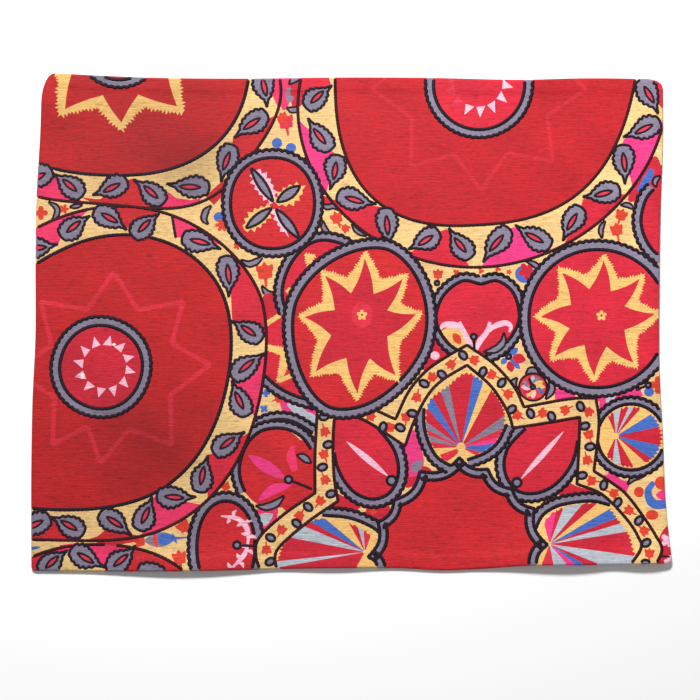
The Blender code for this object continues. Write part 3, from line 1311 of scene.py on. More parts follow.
    def fruit(self) -> None:
        """The heart-shaped fruit, its sprigs and the small rosette beside it."""
        c = self.chart
        left = smooth_path([(481, 284), (462, 281), (443, 296), (436, 320), (447, 342), (464, 354)])
        right = smooth_path([(464, 354), (484, 356), (505, 344), (519, 320), (514, 294), (498, 281),
                             (481, 284)])
        heart = np.vstack((left, right))
        c.band(heart, -5.8)
        c.fill(heart, Thread.ROSE_RED)
        c.patch([(442, 331), (452, 327), (463, 331), (472, 348), (468, 354), (458, 350), (448, 340)],
                Thread.GOLD)
        for knots, widths in (
                ([(474, 352), (468, 340), (462, 328), (459, 322)], (3, 6, 5, 4)),
                ([(463, 328), (453, 325), (444, 325), (440, 330)], (4, 7, 6, 2)),
                ([(475, 352), (480, 341), (487, 332), (490, 322)], (3, 6, 5, 3)),
                ([(485, 333), (495, 326), (506, 323), (511, 327), (509, 332)],
                 (4, 5, 6, 5, 2))):
            c.stroke(knots, widths, Thread.PALE_PINK)
        c.petal((453, 333), (461, 344), 8, Thread.FLAME)
        c.petal((481, 276), (481, 285), 5, Thread.SLATE)
        c.line(heart, Outline.BOLD, True)
        c.hook([(504, 333), (503, 342), (496, 349), (484, 352)], 6.5)
        c.eyelet((473.7, 336.6), 2.8, (474.5, 349))
        disc = Oval((533, 387), (14, 13.6))
        for knots in ([(526, 374), (532, 370), (539, 374)], [(517, 378), (513, 384), (517, 391)],
                      [(549, 380), (552, 389), (546, 399)]):
            c.hook(knots, 6)
        c.edged(disc.path(60), Thread.GHOST, Outline.FINE)
        petals = (Thread.GOLD, Thread.COBALT, Thread.FLAME, Thread.PALE_PINK, Thread.GOLD,
                  Thread.CRIMSON, Thread.PALE_PINK, Thread.SLATE, Thread.GHOST, Thread.MIST,
                  Thread.SLATE, Thread.GOLD)
        turns = np.radians(np.arange(len(petals)) * 360.0 / len(petals))
        for edge, thread in zip(disc.at(turns), petals):
            c.petal(disc.centre, 0.14 * np.array(disc.centre) + 0.86 * edge, 6.4, thread)
        c.eyelet((533, 387), 2, (529, 378))


# The cloth

FACE_MERGE = 2e-3
BACK_MERGE = 1e-7
INSIDE_FACES = 1


def cut_plane(points: np.ndarray, edges: list, faces: list, merge: float) -> tuple:
    """Triangulate flat points so that the given edges and the faces' sides are kept.

    Args:
        points: points, shape (n, 2).
        edges: pairs of point numbers.
        faces: lists of point numbers, the first of them round the whole.
        merge: distance in millimetres within which points become one.

    Returns:
        The cut's points, its triangles inside the first face, and for each of its points
        the numbers of the points that it stands for.
    """
    cut = delaunay_2d_cdt([Vector(p) for p in points.tolist()], edges, faces, INSIDE_FACES, merge,
                          True)
    triangles = np.array([face for face, owners in zip(cut[2], cut[5]) if 0 in owners])
    return np.array([tuple(p) for p in cut[0]]), triangles, cut[3]


@dataclass(frozen=True)
class Ripple:
    """Smooth seeded unevenness: a sum of sines in x and y with random turns."""

    reach_x: float
    reach_y: float
    waves: int = 6
    seed: int = SEED

    def at(self, points: np.ndarray) -> np.ndarray:
        """Work out the unevenness.

        Args:
            points: points in millimetres, with x and y in their first two columns.

        Returns:
            A value of about -1 to 1 for each point.
        """
        rng = np.random.default_rng(self.seed)
        spread = rng.uniform(0.55, 1.6, (2, self.waves)) * rng.choice((-1.0, 1.0), (2, self.waves))
        phase = rng.uniform(0.0, 2 * math.pi, self.waves)
        turns = 2 * math.pi * (points[:, 0:1] * spread[0] / self.reach_x
                               + points[:, 1:2] * spread[1] / self.reach_y)
        return np.sin(turns + phase).sum(axis=1) / math.sqrt(self.waves)


@dataclass(frozen=True)
class ClothForm:
    """Outline, section and lie of the cloth, in millimetres, as the part has them."""

    half_width: float = 230.0
    half_depth: float = 181.0
    thickness: float = 2.2
    hem: float = 2.7
    hem_width: float = 13.0
    hem_fade: float = 5.0
    left: tuple = ((-183, 0.1), (-104, 1.9), (-60, 2.1), (-15, 1.0), (45, 2.2), (90, 2.5),
                   (135, 0.8), (183, -0.5))
    right: tuple = ((-180, 1.0), (-160, -0.5), (-135, -2.2), (-88, -3.1), (-30, -4.7), (45, -3.1),
                    (90, -0.7), (135, 1.8), (180, 2.7))
    front: tuple = ((-230, 2.2), (-180, 2.6), (-108, 2.2), (-50, 0.9), (4, 0.1), (38, 0.4),
                    (64, 1.8), (93, 0.8), (122, -1.3), (180, -2.1), (230, -3.2))
    back: tuple = ((-225, 2.6), (-193, 1.8), (-150, 0.1), (-85, -0.6), (4, 0.3), (58, -0.1),
                   (125, -1.9), (175, -0.4), (230, -1.2))
    corners: tuple = ((-1, 1, 9.0, 22.0), (1, 1, 11.0, 7.0), (-1, -1, 3.0, 3.0), (1, -1, 4.0, 4.0))
    swells: tuple = ((152, -188, 70, 55, 5.0), (214, -184, 34, 40, 4.2), (-118, -190, 85, 42, 3.0),
                     (-12, -188, 48, 34, 1.8), (-228, 178, 50, 50, 3.0), (232, 20, 34, 80, 2.2),
                     (120, 186, 70, 30, 1.6))

    @staticmethod
    def curve(table: tuple, at: np.ndarray) -> np.ndarray:
        """Read a smooth curve through a table: a cubic whose slopes are the table's own.

        Args:
            table: rows of station and value.
            at: stations wanted.

        Returns:
            The values there.
        """
        stations, values = np.array(table, float).T
        slopes = np.gradient(values, stations)
        at = np.clip(at, stations[0], stations[-1])
        left = np.clip(np.searchsorted(stations, at, side="right") - 1, 0, len(stations) - 2)
        span = stations[left + 1] - stations[left]
        t = (at - stations[left]) / span
        rise = (3.0 - 2.0 * t) * t * t
        lead = t * (1.0 - t) ** 2 * slopes[left] - t * t * (1.0 - t) * slopes[left + 1]
        return values[left] + (values[left + 1] - values[left]) * rise + lead * span

    def bows(self, x: np.ndarray, y: np.ndarray) -> tuple:
        """Work out how far the edges bow out.

        Args:
            x: places across the cloth.
            y: places along it.

        Returns:
            The bow of the side edges and that of the end edges.
        """
        side = np.where(x > 0.0, self.curve(self.right, y), self.curve(self.left, y))
        end = np.where(y > 0.0, self.curve(self.back, x), self.curve(self.front, x))
        return side, end

    def outline(self, step: float) -> np.ndarray:
        """Walk round the rectangle with its corners rounded and its edges bowed.

        Args:
            step: distance between points.

        Returns:
            Points of the outline, anticlockwise from above.
        """
        w, d = self.half_width, self.half_depth
        square = evenly(np.array([(-w, -d), (w, -d), (w, d), (-w, d)]), step * 0.5, True)
        x, y = square.T.copy()
        for side_x, side_y, reach_x, reach_y in self.corners:
            across = 1.0 - (w - side_x * x) / reach_x
            along = 1.0 - (d - side_y * y) / reach_y
            near = (across > 0.0) & (along > 0.0)
            round_x = across * np.sqrt(1.0 - 0.5 * np.clip(along, 0.0, 1.0) ** 2)
            round_y = along * np.sqrt(1.0 - 0.5 * np.clip(across, 0.0, 1.0) ** 2)
            x = np.where(near, side_x * (w - (1.0 - round_x) * reach_x), x)
            y = np.where(near, side_y * (d - (1.0 - round_y) * reach_y), y)
        side, end = self.bows(x, y)
        return evenly(np.column_stack((x + side * x / w, y + end * y / d)), step, True)

    def lift(self, points: np.ndarray) -> np.ndarray:
        """Work out the underside's height: top * cos^2 (90 degrees * distance) for each swell.

        Args:
            points: points in millimetres.

        Returns:
            Their heights above the table.
        """
        x, y = points[:, 0], points[:, 1]
        height = np.zeros(len(points))
        for at_x, at_y, reach_x, reach_y, top in self.swells:
            away = np.minimum(np.hypot((x - at_x) / reach_x, (y - at_y) / reach_y), 1.0)
            height += top * np.cos(0.5 * math.pi * away) ** 2
        return height

    def top(self, points: np.ndarray) -> np.ndarray:
        """Work out the face's height: lift, cloth, hem fading into the field, round edge.

        Args:
            points: points in millimetres.

        Returns:
            Their heights above the table.
        """
        x, y = points[:, 0], points[:, 1]
        side, end = self.bows(x, y)
        inset = np.minimum(self.half_width + side - np.abs(x), self.half_depth + end - np.abs(y))
        t = np.clip((self.hem_width - inset) / self.hem_fade, 0.0, 1.0)
        high = self.lift(points) + self.thickness + (self.hem - self.thickness) * t * t * (3 - 2 * t)
        turned = np.clip(1.0 - 2.0 * inset / self.hem, 0.0, 1.0)
        return high - self.hem / 2 * (1.0 - np.sqrt(1.0 - turned ** 2))


@dataclass
class Surface:
    """Points in millimetres, triangles, and a colour for each triangle corner."""

    points: np.ndarray
    triangles: np.ndarray
    colours: np.ndarray
    rows: np.ndarray | None = None

    def piece(self, name: str, materials: list,
              slots: np.ndarray | None = None) -> bpy.types.Object:
        """Make a smooth-shaded object of the surface, with its thread dye on the corners.

        Args:
            name: name of the object and its mesh.
            materials: its materials.
            slots: material number of each triangle.

        Returns:
            The new object.
        """
        mesh = bpy.data.meshes.new(name)
        mesh.from_pydata((self.points * MM).tolist(), [], self.triangles.tolist())
        mesh.update()
        dye = mesh.color_attributes.new("thread_dye", "FLOAT_COLOR", "CORNER")
        rgba = np.column_stack((self.colours.reshape(-1, 3), np.ones(self.colours.size // 3)))
        dye.data.foreach_set("color", rgba.astype(np.float32).ravel())
        if self.rows is not None:
            row = mesh.attributes.new("rib_row", "FLOAT", "POINT")
            row.data.foreach_set("value", self.rows.astype(np.float32))
        for material in materials:
            mesh.materials.append(material)
        if slots is not None:
            mesh.polygons.foreach_set("material_index", slots.astype(np.int32))
        mesh.polygons.foreach_set("use_smooth", np.ones(len(self.triangles), bool))
        piece = bpy.data.objects.new(name, mesh)
        bpy.context.scene.collection.objects.link(piece)
        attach(piece, "root")
        return piece


@dataclass
class PanelCloth:
    """The cloth: ribbed face cut along every fill, round turned edge, plain underside."""

    form: ClothForm
    chart: Chart
    rib: float = 2.2
    relief: float = 0.03
    unevenness: float = 0.45
    stray: float = 0.7
    along: float = 6.0
    row_inset: float = 0.6
    edge_step: float = 1.5
    edge_rings: int = 7
    back_step: float = 9.0
    back_inset: float = 4.0
    left_tone: float = 0.76
    right_gain: float = 0.20
    mottle: float = 0.05
    streak: float = 0.05
    stain_squash: float = 1.6
    stains: tuple = ((-150.0, 140.0, 80.0, 0.24), (-120.0, 118.0, 30.0, 0.24),
                     (-146.0, -92.0, 46.0, 0.34))

    def warp(self, points: np.ndarray) -> np.ndarray:
        """Return how far the ribs stray from straight rows, in millimetres."""
        return self.stray * Ripple(210.0, 120.0, 5, SEED + 1).at(points)

    def ribs(self, points: np.ndarray) -> np.ndarray:
        """Work out rib relief: relief * cos(2 pi (y - warp) / rib) * (1 + unevenness).

        Args:
            points: points in millimetres.

        Returns:
            The relief at each point.
        """
        phase = 2 * math.pi * (points[:, 1] - self.warp(points)) / self.rib
        uneven = 1.0 + self.unevenness * Ripple(40.0, 9.0, 6, SEED + 2).at(points)
        return self.relief * np.cos(phase) * uneven

    def rows(self, ring: np.ndarray) -> tuple:
        """Lay rib rows over the cloth: one on each crest and one in each valley.

        Args:
            ring: edge of the face, which the rows stay inside.

        Returns:
            Points of the rows, and pairs of neighbours along them.
        """
        low, high = ring.min(axis=0), ring.max(axis=0)
        x = np.arange(low[0], high[0], self.along)
        y = np.arange(math.floor(low[1] / self.rib) * self.rib, high[1], self.rib / 2)
        grid = np.stack(np.meshgrid(x, y), axis=-1)
        grid[1::2, :, 0] += self.along / 2
        flat = grid.reshape(-1, 2)
        flat[:, 1] += self.warp(flat)
        kept = within(flat, evenly(ring - facing(ring, True) * self.row_inset, 4.0, True))
        number = np.where(kept, np.cumsum(kept) - 1, -1).reshape(grid.shape[:2])
        pairs = np.stack((number[:, :-1], number[:, 1:]), axis=-1).reshape(-1, 2)
        return flat[kept], pairs[(pairs >= 0).all(axis=1)]

    def cut_face(self, ring: np.ndarray) -> tuple:
        """Triangulate the face so that every fill and every row is an edge of it.

        Args:
            ring: edge of the face.

        Returns:
            Points, triangles, and the number of the uppermost fill of each triangle,
            where 0 is the bare ground.
        """
        spots, pairs = self.rows(ring)
        loops = [ring] + [path for path, _ in self.chart.fills]
        starts = np.cumsum([0] + [len(loop) for loop in loops])
        every = np.vstack(loops + [spots])
        faces = [list(range(a, b)) for a, b in zip(starts[:-1], starts[1:])]
        points, triangles, _ = cut_plane(every, (pairs + starts[-1]).tolist(), faces, FACE_MERGE)
        used, again = np.unique(triangles, return_inverse=True)
        points, triangles = points[used], again.reshape(-1, 3)
        return points, triangles, self.chart.uppermost(points[triangles].mean(axis=1))

    def rim_order(self, points: np.ndarray, triangles: np.ndarray, ring: np.ndarray) -> np.ndarray:
        """Order the face's border points by where each falls along the ring.

        Args:
            points: points of the face.
            triangles: its triangles.
            ring: its edge, anticlockwise.

        Returns:
            Numbers of the border points, anticlockwise.
        """
        sides = np.sort(triangles[:, [0, 1, 1, 2, 2, 0]].reshape(-1, 2), axis=1)
        pairs, counts = np.unique(sides, axis=0, return_counts=True)
        border = np.unique(pairs[counts == 1])
        ahead = np.roll(ring, -1, axis=0) - ring
        size = np.sum(ahead * ahead, axis=1)
        gap = points[border][:, None] - ring[None]
        share = np.clip(np.sum(gap * ahead, axis=2) / size, 0.0, 1.0)
        miss = np.hypot(*np.moveaxis(gap - share[..., None] * ahead, 2, 0))
        best = miss.argmin(axis=1)
        return border[np.argsort(best + share[np.arange(len(border)), best])]

    def tone(self, points: np.ndarray) -> np.ndarray:
        """Return the threads' brightness: lighter to the right, clouds, streaks and stains.

        Each stain is a row of middle x, middle y, reach and depth; it darkens by depth *
        exp(-(dx^2 + 1.6 dy^2) / reach^2).

        Args:
            points: points of the cloth in millimetres.

        Returns:
            A factor for each point.
        """
        x, y = points[:, 0], points[:, 1]
        clouds = Ripple(90.0, 60.0, 7, SEED + 3).at(points)
        streaks = Ripple(70.0, 3.0, 9, SEED + 4).at(points)
        share = np.clip((x + self.form.half_width) / (2 * self.form.half_width), 0.0, 1.0)
        stains = np.ones(len(points))
        for at_x, at_y, reach, depth in self.stains:
            away = (x - at_x) ** 2 + self.stain_squash * (y - at_y) ** 2
            stains -= depth * np.exp(-away / reach ** 2)
        across = self.left_tone + self.right_gain * share
        return across * stains * (1.0 + self.mottle * clouds) * (1.0 + self.streak * streaks)

    def build(self, materials: list) -> bpy.types.Object:
        """Make the closed cloth.

        Args:
            materials: embroidery for the face, cotton for the edge and underside.

        Returns:
            The cloth.
        """
        radius = self.form.hem / 2
        outline = self.form.outline(self.edge_step)
        ring = outline - facing(outline, True) * radius
        flat, triangles, uppermost = self.cut_face(ring)
        height = self.form.top(flat) + self.ribs(flat)
        face = np.column_stack((flat, height))
        order = self.rim_order(flat, triangles, ring)
        border = flat[order]
        out = facing(border, True)
        turns = np.radians(np.linspace(90.0, -90.0, self.edge_rings + 1))[1:]
        rings = []
        for turn in turns:
            level = self.form.lift(border) + radius + radius * math.sin(turn)
            rings.append(np.column_stack((border + out * radius * math.cos(turn), level)))
        count = len(border)
        first = len(face)
        loops = np.vstack((order, first + np.arange(count * len(turns)).reshape(len(turns), count)))
        upper, lower = loops[:-1], loops[1:]
        after_up, after_low = np.roll(upper, -1, axis=1), np.roll(lower, -1, axis=1)
        sides = np.concatenate((np.stack((lower, after_low, after_up), axis=-1),
                                np.stack((lower, after_up, upper), axis=-1))).reshape(-1, 3)
        under, beneath = self.underside(border, loops[-1], first + count * len(turns))
        points = np.vstack([face] + rings + [under])
        every = np.vstack((triangles, sides, beneath))
        dyes = np.array([Thread.STRAW.linear()] + [dye.linear() for _, dye in self.chart.fills])
        tones = self.tone(points)
        colours = np.tile(Thread.RUBY.linear(), (len(every), 3, 1))
        colours[: len(triangles)] = dyes[uppermost][:, None]
        middle = 0.5 * (border + np.roll(border, -1, axis=0)) - out * 0.2
        turned = np.tile(dyes[self.chart.uppermost(middle)], (2 * len(turns), 1))
        colours[len(triangles): len(triangles) + len(turned)] = turned[:, None]
        colours = np.clip(colours * tones[every][..., None], 0.0, 1.0)
        slots = (np.arange(len(every)) >= len(triangles) + len(sides)).astype(int)
        rows = 2.0 * (points[:, 1] - self.warp(points)) / self.rib
        cloth = Surface(points, every, colours, rows).piece("suzani_cloth", materials, slots)
        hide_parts("suzani_panel")
        return cloth

    def underside(self, border: np.ndarray, ring: np.ndarray, first: int) -> tuple:
        """Close the cloth from below with a plain sheet at the lift of the swells.

        Args:
            border: plan of the lowest ring of the edge.
            ring: its point numbers.
            first: number that the next new point will have.

        Returns:
            New inner points, and triangles that face down.
        """
        low, high = border.min(axis=0), border.max(axis=0)
        x = np.arange(low[0], high[0], self.back_step)
        y = np.arange(low[1], high[1], self.back_step)
        spots = np.stack(np.meshgrid(x, y), axis=-1).reshape(-1, 2)
        spots = spots[within(spots, border - facing(border, True) * self.back_inset)]
        every = np.vstack((border, spots))
        _, faces, sources = cut_plane(every, [], [list(range(len(border)))], BACK_MERGE)
        source = np.array([owners[0] for owners in sources])
        number = np.concatenate((ring, first + np.arange(len(spots))))
        triangles = number[source[faces]][:, ::-1]
        return np.column_stack((spots, self.form.lift(spots))), triangles


@dataclass
class StitchedLines:
    """Chain-stitch outlines: low closed ribbons with links that swell along them."""

    form: ClothForm
    chart: Chart
    kinds: tuple
    step: float = 0.8
    buried: float = 0.32
    margin: float = 0.9
    shortest: int = 4
    pinch: float = 0.16
    dip: float = 0.28
    lag: float = 1.1
    fade: float = 0.35

    def runs(self) -> list:
        """Cut every line where it leaves the cloth or goes under a later fill.

        Returns:
            Rows of points, kind of stitch and whether the run closes on itself.
        """
        edge = self.form.outline(4.0)
        edge = edge - facing(edge, True) * self.margin
        kept = []
        for path, kind, closed, layer in self.chart.lines:
            if kind not in self.kinds:
                continue
            even = evenly(path, self.step, closed)
            clear = within(even, edge)
            low, high = even.min(axis=0), even.max(axis=0)
            for cover, _ in self.chart.fills[layer:]:
                if (cover.min(axis=0) < high).all() and (cover.max(axis=0) > low).all():
                    clear &= ~within(even, cover)
            if clear.all():
                kept.append((even, kind, closed))
                continue
            if closed and clear.any():
                turn = int(np.argmin(clear))
                even, clear = np.roll(even, -turn, axis=0), np.roll(clear, -turn)
            ends = np.flatnonzero(np.diff(np.concatenate(([0], clear.astype(int), [0]))))
            for start, end in ends.reshape(-1, 2):
                if end - start >= self.shortest:
                    kept.append((even[start:end], kind, False))
        return kept

    def ribbon(self, path: np.ndarray, kind: Outline, closed: bool) -> Surface:
        """Build one run: a six-point section carried along it.

        Half-width = width / 2 * (0.84 + 0.16 |sin(pi s / link)|); height = crown *
        (1 - v^2)^0.45 * (0.72 + 0.28 |sin(pi s / link + 1.1 |v|)|), v from edge to edge.

        Args:
            path: evenly spaced points.
            kind: kind of stitch.
            closed: whether the run closes on itself.

        Returns:
            The closed ribbon.
        """
        stitch = kind.value
        count = len(path)
        across = np.array([-1.0, -0.58, 0.0, 0.58, 1.0, 0.0])
        links = max(round(count * self.step / stitch.link), 1)
        turn = math.pi * links * np.arange(count) / count
        half = stitch.width / 2 * (1.0 - self.pinch + self.pinch * np.abs(np.sin(turn)))
        dome = (1.0 - across ** 2) ** 0.45
        link = np.abs(np.sin(turn[:, None] + self.lag * np.abs(across)))
        link = 1.0 - self.dip + self.dip * link
        rise = stitch.crown * dome * link
        rise[:, 5] = -self.buried
        rise[:, [0, 4]] = 0.0
        side = facing(path, closed)
        if not closed:
            half = half * np.clip((np.arange(count) + 1.0) / 2.0, 0.0, 1.0)
            half = half * np.clip((count - np.arange(count)) / 2.0, 0.0, 1.0)
        plan = path[:, None] + side[:, None] * (half[:, None] * across)[..., None]
        height = self.form.top(plan.reshape(-1, 2)).reshape(count, 6) + rise
        points = np.concatenate((plan, height[..., None]), axis=2).reshape(-1, 3)
        number = np.arange(count * 6).reshape(count, 6)
        rows = np.vstack((number, number[:1])) if closed else number
        a, b = rows[:-1], np.roll(rows[:-1], -1, axis=1)
        c, d = rows[1:], np.roll(rows[1:], -1, axis=1)
        skin = [np.stack((a, b, d), axis=-1), np.stack((a, d, c), axis=-1)]
        triangles = np.concatenate(skin).reshape(-1, 3)
        if not closed:
            fan = np.array([(0, 1, 2), (0, 2, 3), (0, 3, 4), (0, 4, 5)])
            triangles = np.vstack((triangles, fan[:, ::-1], fan + (count - 1) * 6))
        solid = points[triangles]
        volume = np.einsum("ij,ij->", solid[:, 0], np.cross(solid[:, 1], solid[:, 2]))
        triangles = triangles if volume > 0 else triangles[:, ::-1]
        shade = (np.array(stitch.dye) / 255.0) ** 2.2
        tint = 1.0 + self.fade * Ripple(40.0, 30.0, 5, SEED + 5).at(points)
        colours = shade * np.clip(tint, 0.4, 2.0)[triangles][..., None]
        return Surface(points, triangles, colours)

    def build(self, name: str, material: bpy.types.Material) -> bpy.types.Object:
        """Make one piece of every run of these kinds.

        Args:
            name: name of the piece.
            material: its thread.

        Returns:
            The piece.
        """
        ribbons = [self.ribbon(*run) for run in self.runs()]
        starts = np.cumsum([0] + [len(each.points) for each in ribbons])
        triangles = np.vstack([each.triangles + start for each, start in zip(ribbons, starts)])
        points = np.vstack([each.points for each in ribbons])
        colours = np.vstack([each.colours for each in ribbons])
        return Surface(points, triangles, colours).piece(name, [material])


# Finishes


def link_nodes(tree: bpy.types.NodeTree, kind: str, settings: dict, **wires: object) -> object:
    """Add a node, set its options and join or set its inputs.

    Args:
        tree: tree that the node goes into.
        kind: type of the node.
        settings: options of the node.
        wires: a socket or a value for each input, by its name with _ for a space, or by
            _ and its number.

    Returns:
        The node.
    """
    new = tree.nodes.new(kind)
    for option, value in settings.items():
        setattr(new, option, value)
    for name, value in wires.items():
        key = int(name[1:]) if name[1:].isdigit() else name.replace("_", " ")
        if isinstance(value, bpy.types.NodeSocket):
            tree.links.new(value, new.inputs[key])
        else:
            new.inputs[key].default_value = value
    return new


@dataclass(frozen=True)
class StrandGroup:
    """Shader group of laid threads: each row has its own streaks, with painted shade in the valleys
    between.

    Lengths along a row are counted in strand lengths, and those across it in rows.
    """

    name: str = "laid_strands"
    stray_long: float = 1.1
    stray_across: float = 0.45
    stray_by: float = 1.8
    streak_across: float = 3.7
    fleck_long: float = 4.3
    fleck_across: float = 9.1
    fleck_crest: float = 0.6
    valley_shade_from: float = 0.97
    valley_shade_gain: float = 4.5
    flat_height: float = 0.6
    fleck_height: float = 0.5

    def tree(self) -> bpy.types.NodeTree:
        """Build the group.

        Returns:
            A group with inputs Row, a count of rows, Strand Length, Contrast and Valley, the painted
            shade's strength, and outputs Shade, a factor near 1 with the painted valley shade in it, and
            Height from 0 to 1.
        """
        tree = bpy.data.node_groups.new(self.name, "ShaderNodeTree")
        for name, value in (("Row", 0.0), ("Strand Length", 0.012), ("Contrast", 0.4),
                            ("Valley", 0.4)):
            socket = tree.interface.new_socket(name, in_out="INPUT", socket_type="NodeSocketFloat")
            socket.default_value = value
        for name in ("Shade", "Height"):
            tree.interface.new_socket(name, in_out="OUTPUT", socket_type="NodeSocketFloat")
        given = tree.nodes.new("NodeGroupInput")
        result = tree.nodes.new("NodeGroupOutput")

        def work(operation: str, *values: object) -> bpy.types.NodeSocket:
            """Return the result of one step of arithmetic."""
            wires = {f"_{place}": value for place, value in enumerate(values)}
            return link_nodes(tree, "ShaderNodeMath", {"operation": operation}, **wires).outputs[0]

        place = link_nodes(tree, "ShaderNodeTexCoord", {})
        split = link_nodes(tree, "ShaderNodeSeparateXYZ", {}, Vector=place.outputs["Object"])
        along = work("DIVIDE", split.outputs["X"], given.outputs["Strand Length"])
        row_count = given.outputs["Row"]
        stray = link_nodes(tree, "ShaderNodeCombineXYZ", {},
                           X=work("MULTIPLY", along, self.stray_long),
                           Y=work("MULTIPLY", row_count, self.stray_across))
        stray = link_nodes(tree, "ShaderNodeTexNoise", {}, Vector=stray.outputs[0], Scale=1.0,
                           Detail=1.0, Roughness=0.5)
        strayed = work("ADD", row_count, work("MULTIPLY", stray.outputs["Fac"], self.stray_by))
        row = work("FLOOR", strayed)
        crest = work("SINE", work("MULTIPLY", work("FRACT", strayed), math.pi))
        long_way = link_nodes(tree, "ShaderNodeCombineXYZ", {}, X=along,
                              Y=work("MULTIPLY", row, self.streak_across))
        streaks = link_nodes(tree, "ShaderNodeTexNoise", {}, Vector=long_way.outputs[0], Scale=1.0,
                             Detail=2.0, Roughness=0.6)
        short_way = link_nodes(tree, "ShaderNodeCombineXYZ", {},
                               X=work("MULTIPLY", along, self.fleck_long),
                               Y=work("MULTIPLY", row, self.fleck_across),
                               Z=work("MULTIPLY", crest, self.fleck_crest))
        flecks = link_nodes(tree, "ShaderNodeTexNoise", {}, Vector=short_way.outputs[0], Scale=1.0,
                            Detail=1.0, Roughness=0.5)
        # Partly painted highlight: the light flecks stand for threads catching the light; the streaks
        # and dark flecks are the threads' own tone.
        streaks_and_glint_flecks = work("ADD", streaks.outputs["Fac"], flecks.outputs["Fac"])
        tone = work("MULTIPLY", work("SUBTRACT", streaks_and_glint_flecks, 1.0), given.outputs["Contrast"])
        # Painted shade: the valleys between rows are darkened in patches, where the sum of the noises
        # passes a threshold.
        low = work("POWER", work("SUBTRACT", 1.0, crest), 2.0)
        valley_shade_patches = work("MULTIPLY", work("SUBTRACT", streaks_and_glint_flecks, self.valley_shade_from), self.valley_shade_gain)
        dark = work("MAXIMUM", work("MULTIPLY", low, valley_shade_patches), 0.0)
        dark = work("MULTIPLY", dark, given.outputs["Valley"])
        shade = work("SUBTRACT", work("ADD", tone, 1.0), dark)
        tree.links.new(shade, result.inputs["Shade"])
        fleck = work("MULTIPLY", flecks.outputs["Fac"], self.fleck_height)
        height = work("MULTIPLY", crest, work("ADD", fleck, self.flat_height))
        tree.links.new(height, result.inputs["Height"])
        return tree


@dataclass(frozen=True)
class ThreadFinish:
    """Dyed thread: its dye from the mesh, streaked, darkened by painted shade between rows and raised by
    laid strands.

    A pitch of 0 takes the rows from the mesh; any other is the rows' pitch along Y.
    """

    name: str
    strand_length: float
    pitch: float
    contrast: float
    # Strength of the painted shade in the valleys between rows.
    valley: float
    raise_by: float
    roughness: float = 0.72
    sheen: float = 0.06
    sheen_roughness: float = 0.5
    specular: float = 0.25

    def rows(self, tree: bpy.types.NodeTree) -> bpy.types.NodeSocket:
        """Count the rows from the mesh or from the place along Y.

        Args:
            tree: the material's nodes.

        Returns:
            The socket that counts rows.
        """
        if not self.pitch:
            return link_nodes(tree, "ShaderNodeAttribute", {"attribute_name": "rib_row"}).outputs["Fac"]
        place = link_nodes(tree, "ShaderNodeTexCoord", {})
        split = link_nodes(tree, "ShaderNodeSeparateXYZ", {}, Vector=place.outputs["Object"])
        return link_nodes(tree, "ShaderNodeMath", {"operation": "DIVIDE"},
                          _0=split.outputs["Y"], _1=self.pitch).outputs[0]

    def material(self, strands: bpy.types.NodeTree) -> bpy.types.Material:
        """Make the material.

        Args:
            strands: the laid strands group.

        Returns:
            The material.
        """
        made = bpy.data.materials.new(self.name)
        made.use_nodes = True
        tree = made.node_tree
        shader = tree.nodes["Principled BSDF"]
        dye = link_nodes(tree, "ShaderNodeVertexColor", {"layer_name": "thread_dye"})
        laid = link_nodes(tree, "ShaderNodeGroup", {"node_tree": strands}, Row=self.rows(tree),
                          Strand_Length=self.strand_length, Contrast=self.contrast,
                          Valley=self.valley)
        shaded = link_nodes(tree, "ShaderNodeVectorMath", {"operation": "SCALE"},
                            _0=dye.outputs["Color"], Scale=laid.outputs["Shade"])
        raised = link_nodes(tree, "ShaderNodeBump", {}, Strength=1.0, Distance=self.raise_by,
                            Height=laid.outputs["Height"])
        tree.links.new(shaded.outputs[0], shader.inputs["Base Color"])
        tree.links.new(raised.outputs[0], shader.inputs["Normal"])
        shader.inputs["Roughness"].default_value = self.roughness
        shader.inputs["Specular IOR Level"].default_value = self.specular
        shader.inputs["Sheen Weight"].default_value = self.sheen
        shader.inputs["Sheen Roughness"].default_value = self.sheen_roughness
        return made


@dataclass(frozen=True)
class Lamp:
    """Square area lamp that looks at the middle of the panel, in metres."""

    name: str
    place: tuple
    watts: float
    side: float

    def hang(self) -> None:
        """Put the lamp into the scene."""
        lamp = bpy.data.lights.new(self.name, "AREA")
        lamp.energy = self.watts
        lamp.size = self.side
        hung = bpy.data.objects.new(self.name, lamp)
        hung.location = self.place
        hung.rotation_euler = (-Vector(self.place)).to_track_quat("-Z", "Y").to_euler()
        bpy.context.scene.collection.objects.link(hung)


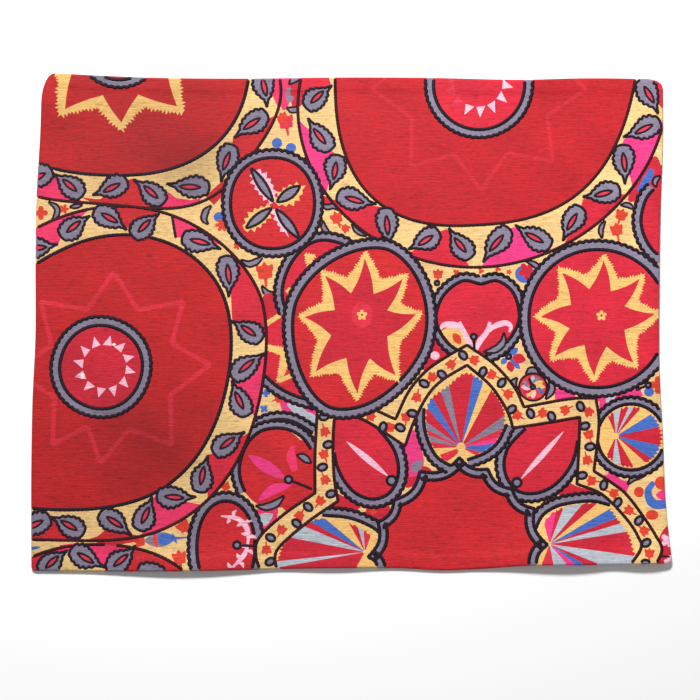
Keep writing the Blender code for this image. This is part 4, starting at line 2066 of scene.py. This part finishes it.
@dataclass(frozen=True)
class Studio:
    """Pale floor, soft light from the back and above, and the photograph's camera."""

    floor_side: float = 4.0
    floor_white: float = 0.94
    floor_roughness: float = 0.9
    room: float = 0.20
    lamps: tuple = (Lamp("key_lamp", (-0.25, 1.15, 1.15), 40.0, 0.28),
                    Lamp("fill_lamp", (0.60, -0.50, 1.60), 3.0, 1.4))

    def floor(self) -> bpy.types.Object:
        """Make the floor, facing up at height 0."""
        half = self.floor_side / 2
        mesh = bpy.data.meshes.new("studio_floor")
        mesh.from_pydata([(-half, -half, 0.0), (half, -half, 0.0), (half, half, 0.0),
                          (-half, half, 0.0)], [], [(0, 1, 2, 3)])
        made = bpy.data.materials.new("studio_floor")
        made.use_nodes = True
        shader = made.node_tree.nodes["Principled BSDF"]
        shader.inputs["Base Color"].default_value = (*[self.floor_white] * 3, 1.0)
        shader.inputs["Roughness"].default_value = self.floor_roughness
        mesh.materials.append(made)
        floor = bpy.data.objects.new("studio_floor", mesh)
        bpy.context.scene.collection.objects.link(floor)
        return floor

    def build(self) -> None:
        """Set up floor, room light, lamps and camera."""
        self.floor()
        scene = bpy.context.scene
        world = bpy.data.worlds.new("studio_room")
        world.use_nodes = True
        world.node_tree.nodes["Background"].inputs["Color"].default_value = (1.0, 1.0, 1.0, 1.0)
        world.node_tree.nodes["Background"].inputs["Strength"].default_value = self.room
        scene.world = world
        for lamp in self.lamps:
            lamp.hang()
        eye, forward, _, _ = VIEW.axes()
        camera = bpy.data.cameras.new("photo_view")
        camera.lens = VIEW.lens
        camera.sensor_width = VIEW.sensor
        holder = bpy.data.objects.new("photo_view", camera)
        holder.location = eye * MM
        holder.rotation_euler = Vector(forward).to_track_quat("-Z", "Y").to_euler()
        scene.collection.objects.link(holder)
        scene.camera = holder


def main() -> None:
    """Build the panel, its stitches and the studio, and report each piece."""
    logging.basicConfig(level=logging.INFO)
    scene = bpy.context.scene
    scene.view_settings.view_transform = "Standard"
    form = ClothForm()
    chart = SuzaniPattern().draw()
    strands = StrandGroup().tree()
    # The valley strength of each finish is painted shade between thread rows.
    embroidery = ThreadFinish("couched_embroidery", strand_length=0.014, pitch=0.0, contrast=0.95,
                              valley=0.85, raise_by=0.00006).material(strands)
    cotton = ThreadFinish("backing_cotton", strand_length=0.004, pitch=0.0008, contrast=0.15,
                          valley=0.2, raise_by=0.0001).material(strands)
    outline = ThreadFinish("outline_thread", strand_length=0.0016, pitch=0.0006, contrast=0.5,
                           valley=0.3, raise_by=0.0001, sheen=0.0).material(strands)
    cloth = PanelCloth(form, chart).build([embroidery, cotton])
    bold = StitchedLines(form, chart, (Outline.BOLD, Outline.BROWN)).build("border_stitches", outline)
    fine = StitchedLines(form, chart, (Outline.LEAF, Outline.FINE)).build("motif_stitches", outline)
    for piece in (cloth, bold, fine):
        LOG.info("%s: %d triangles", piece.name, len(piece.data.polygons))
    LOG.info("pattern: %d fills, %d lines", len(chart.fills), len(chart.lines))
    Studio().build()


if __name__ == "__main__":
    main()
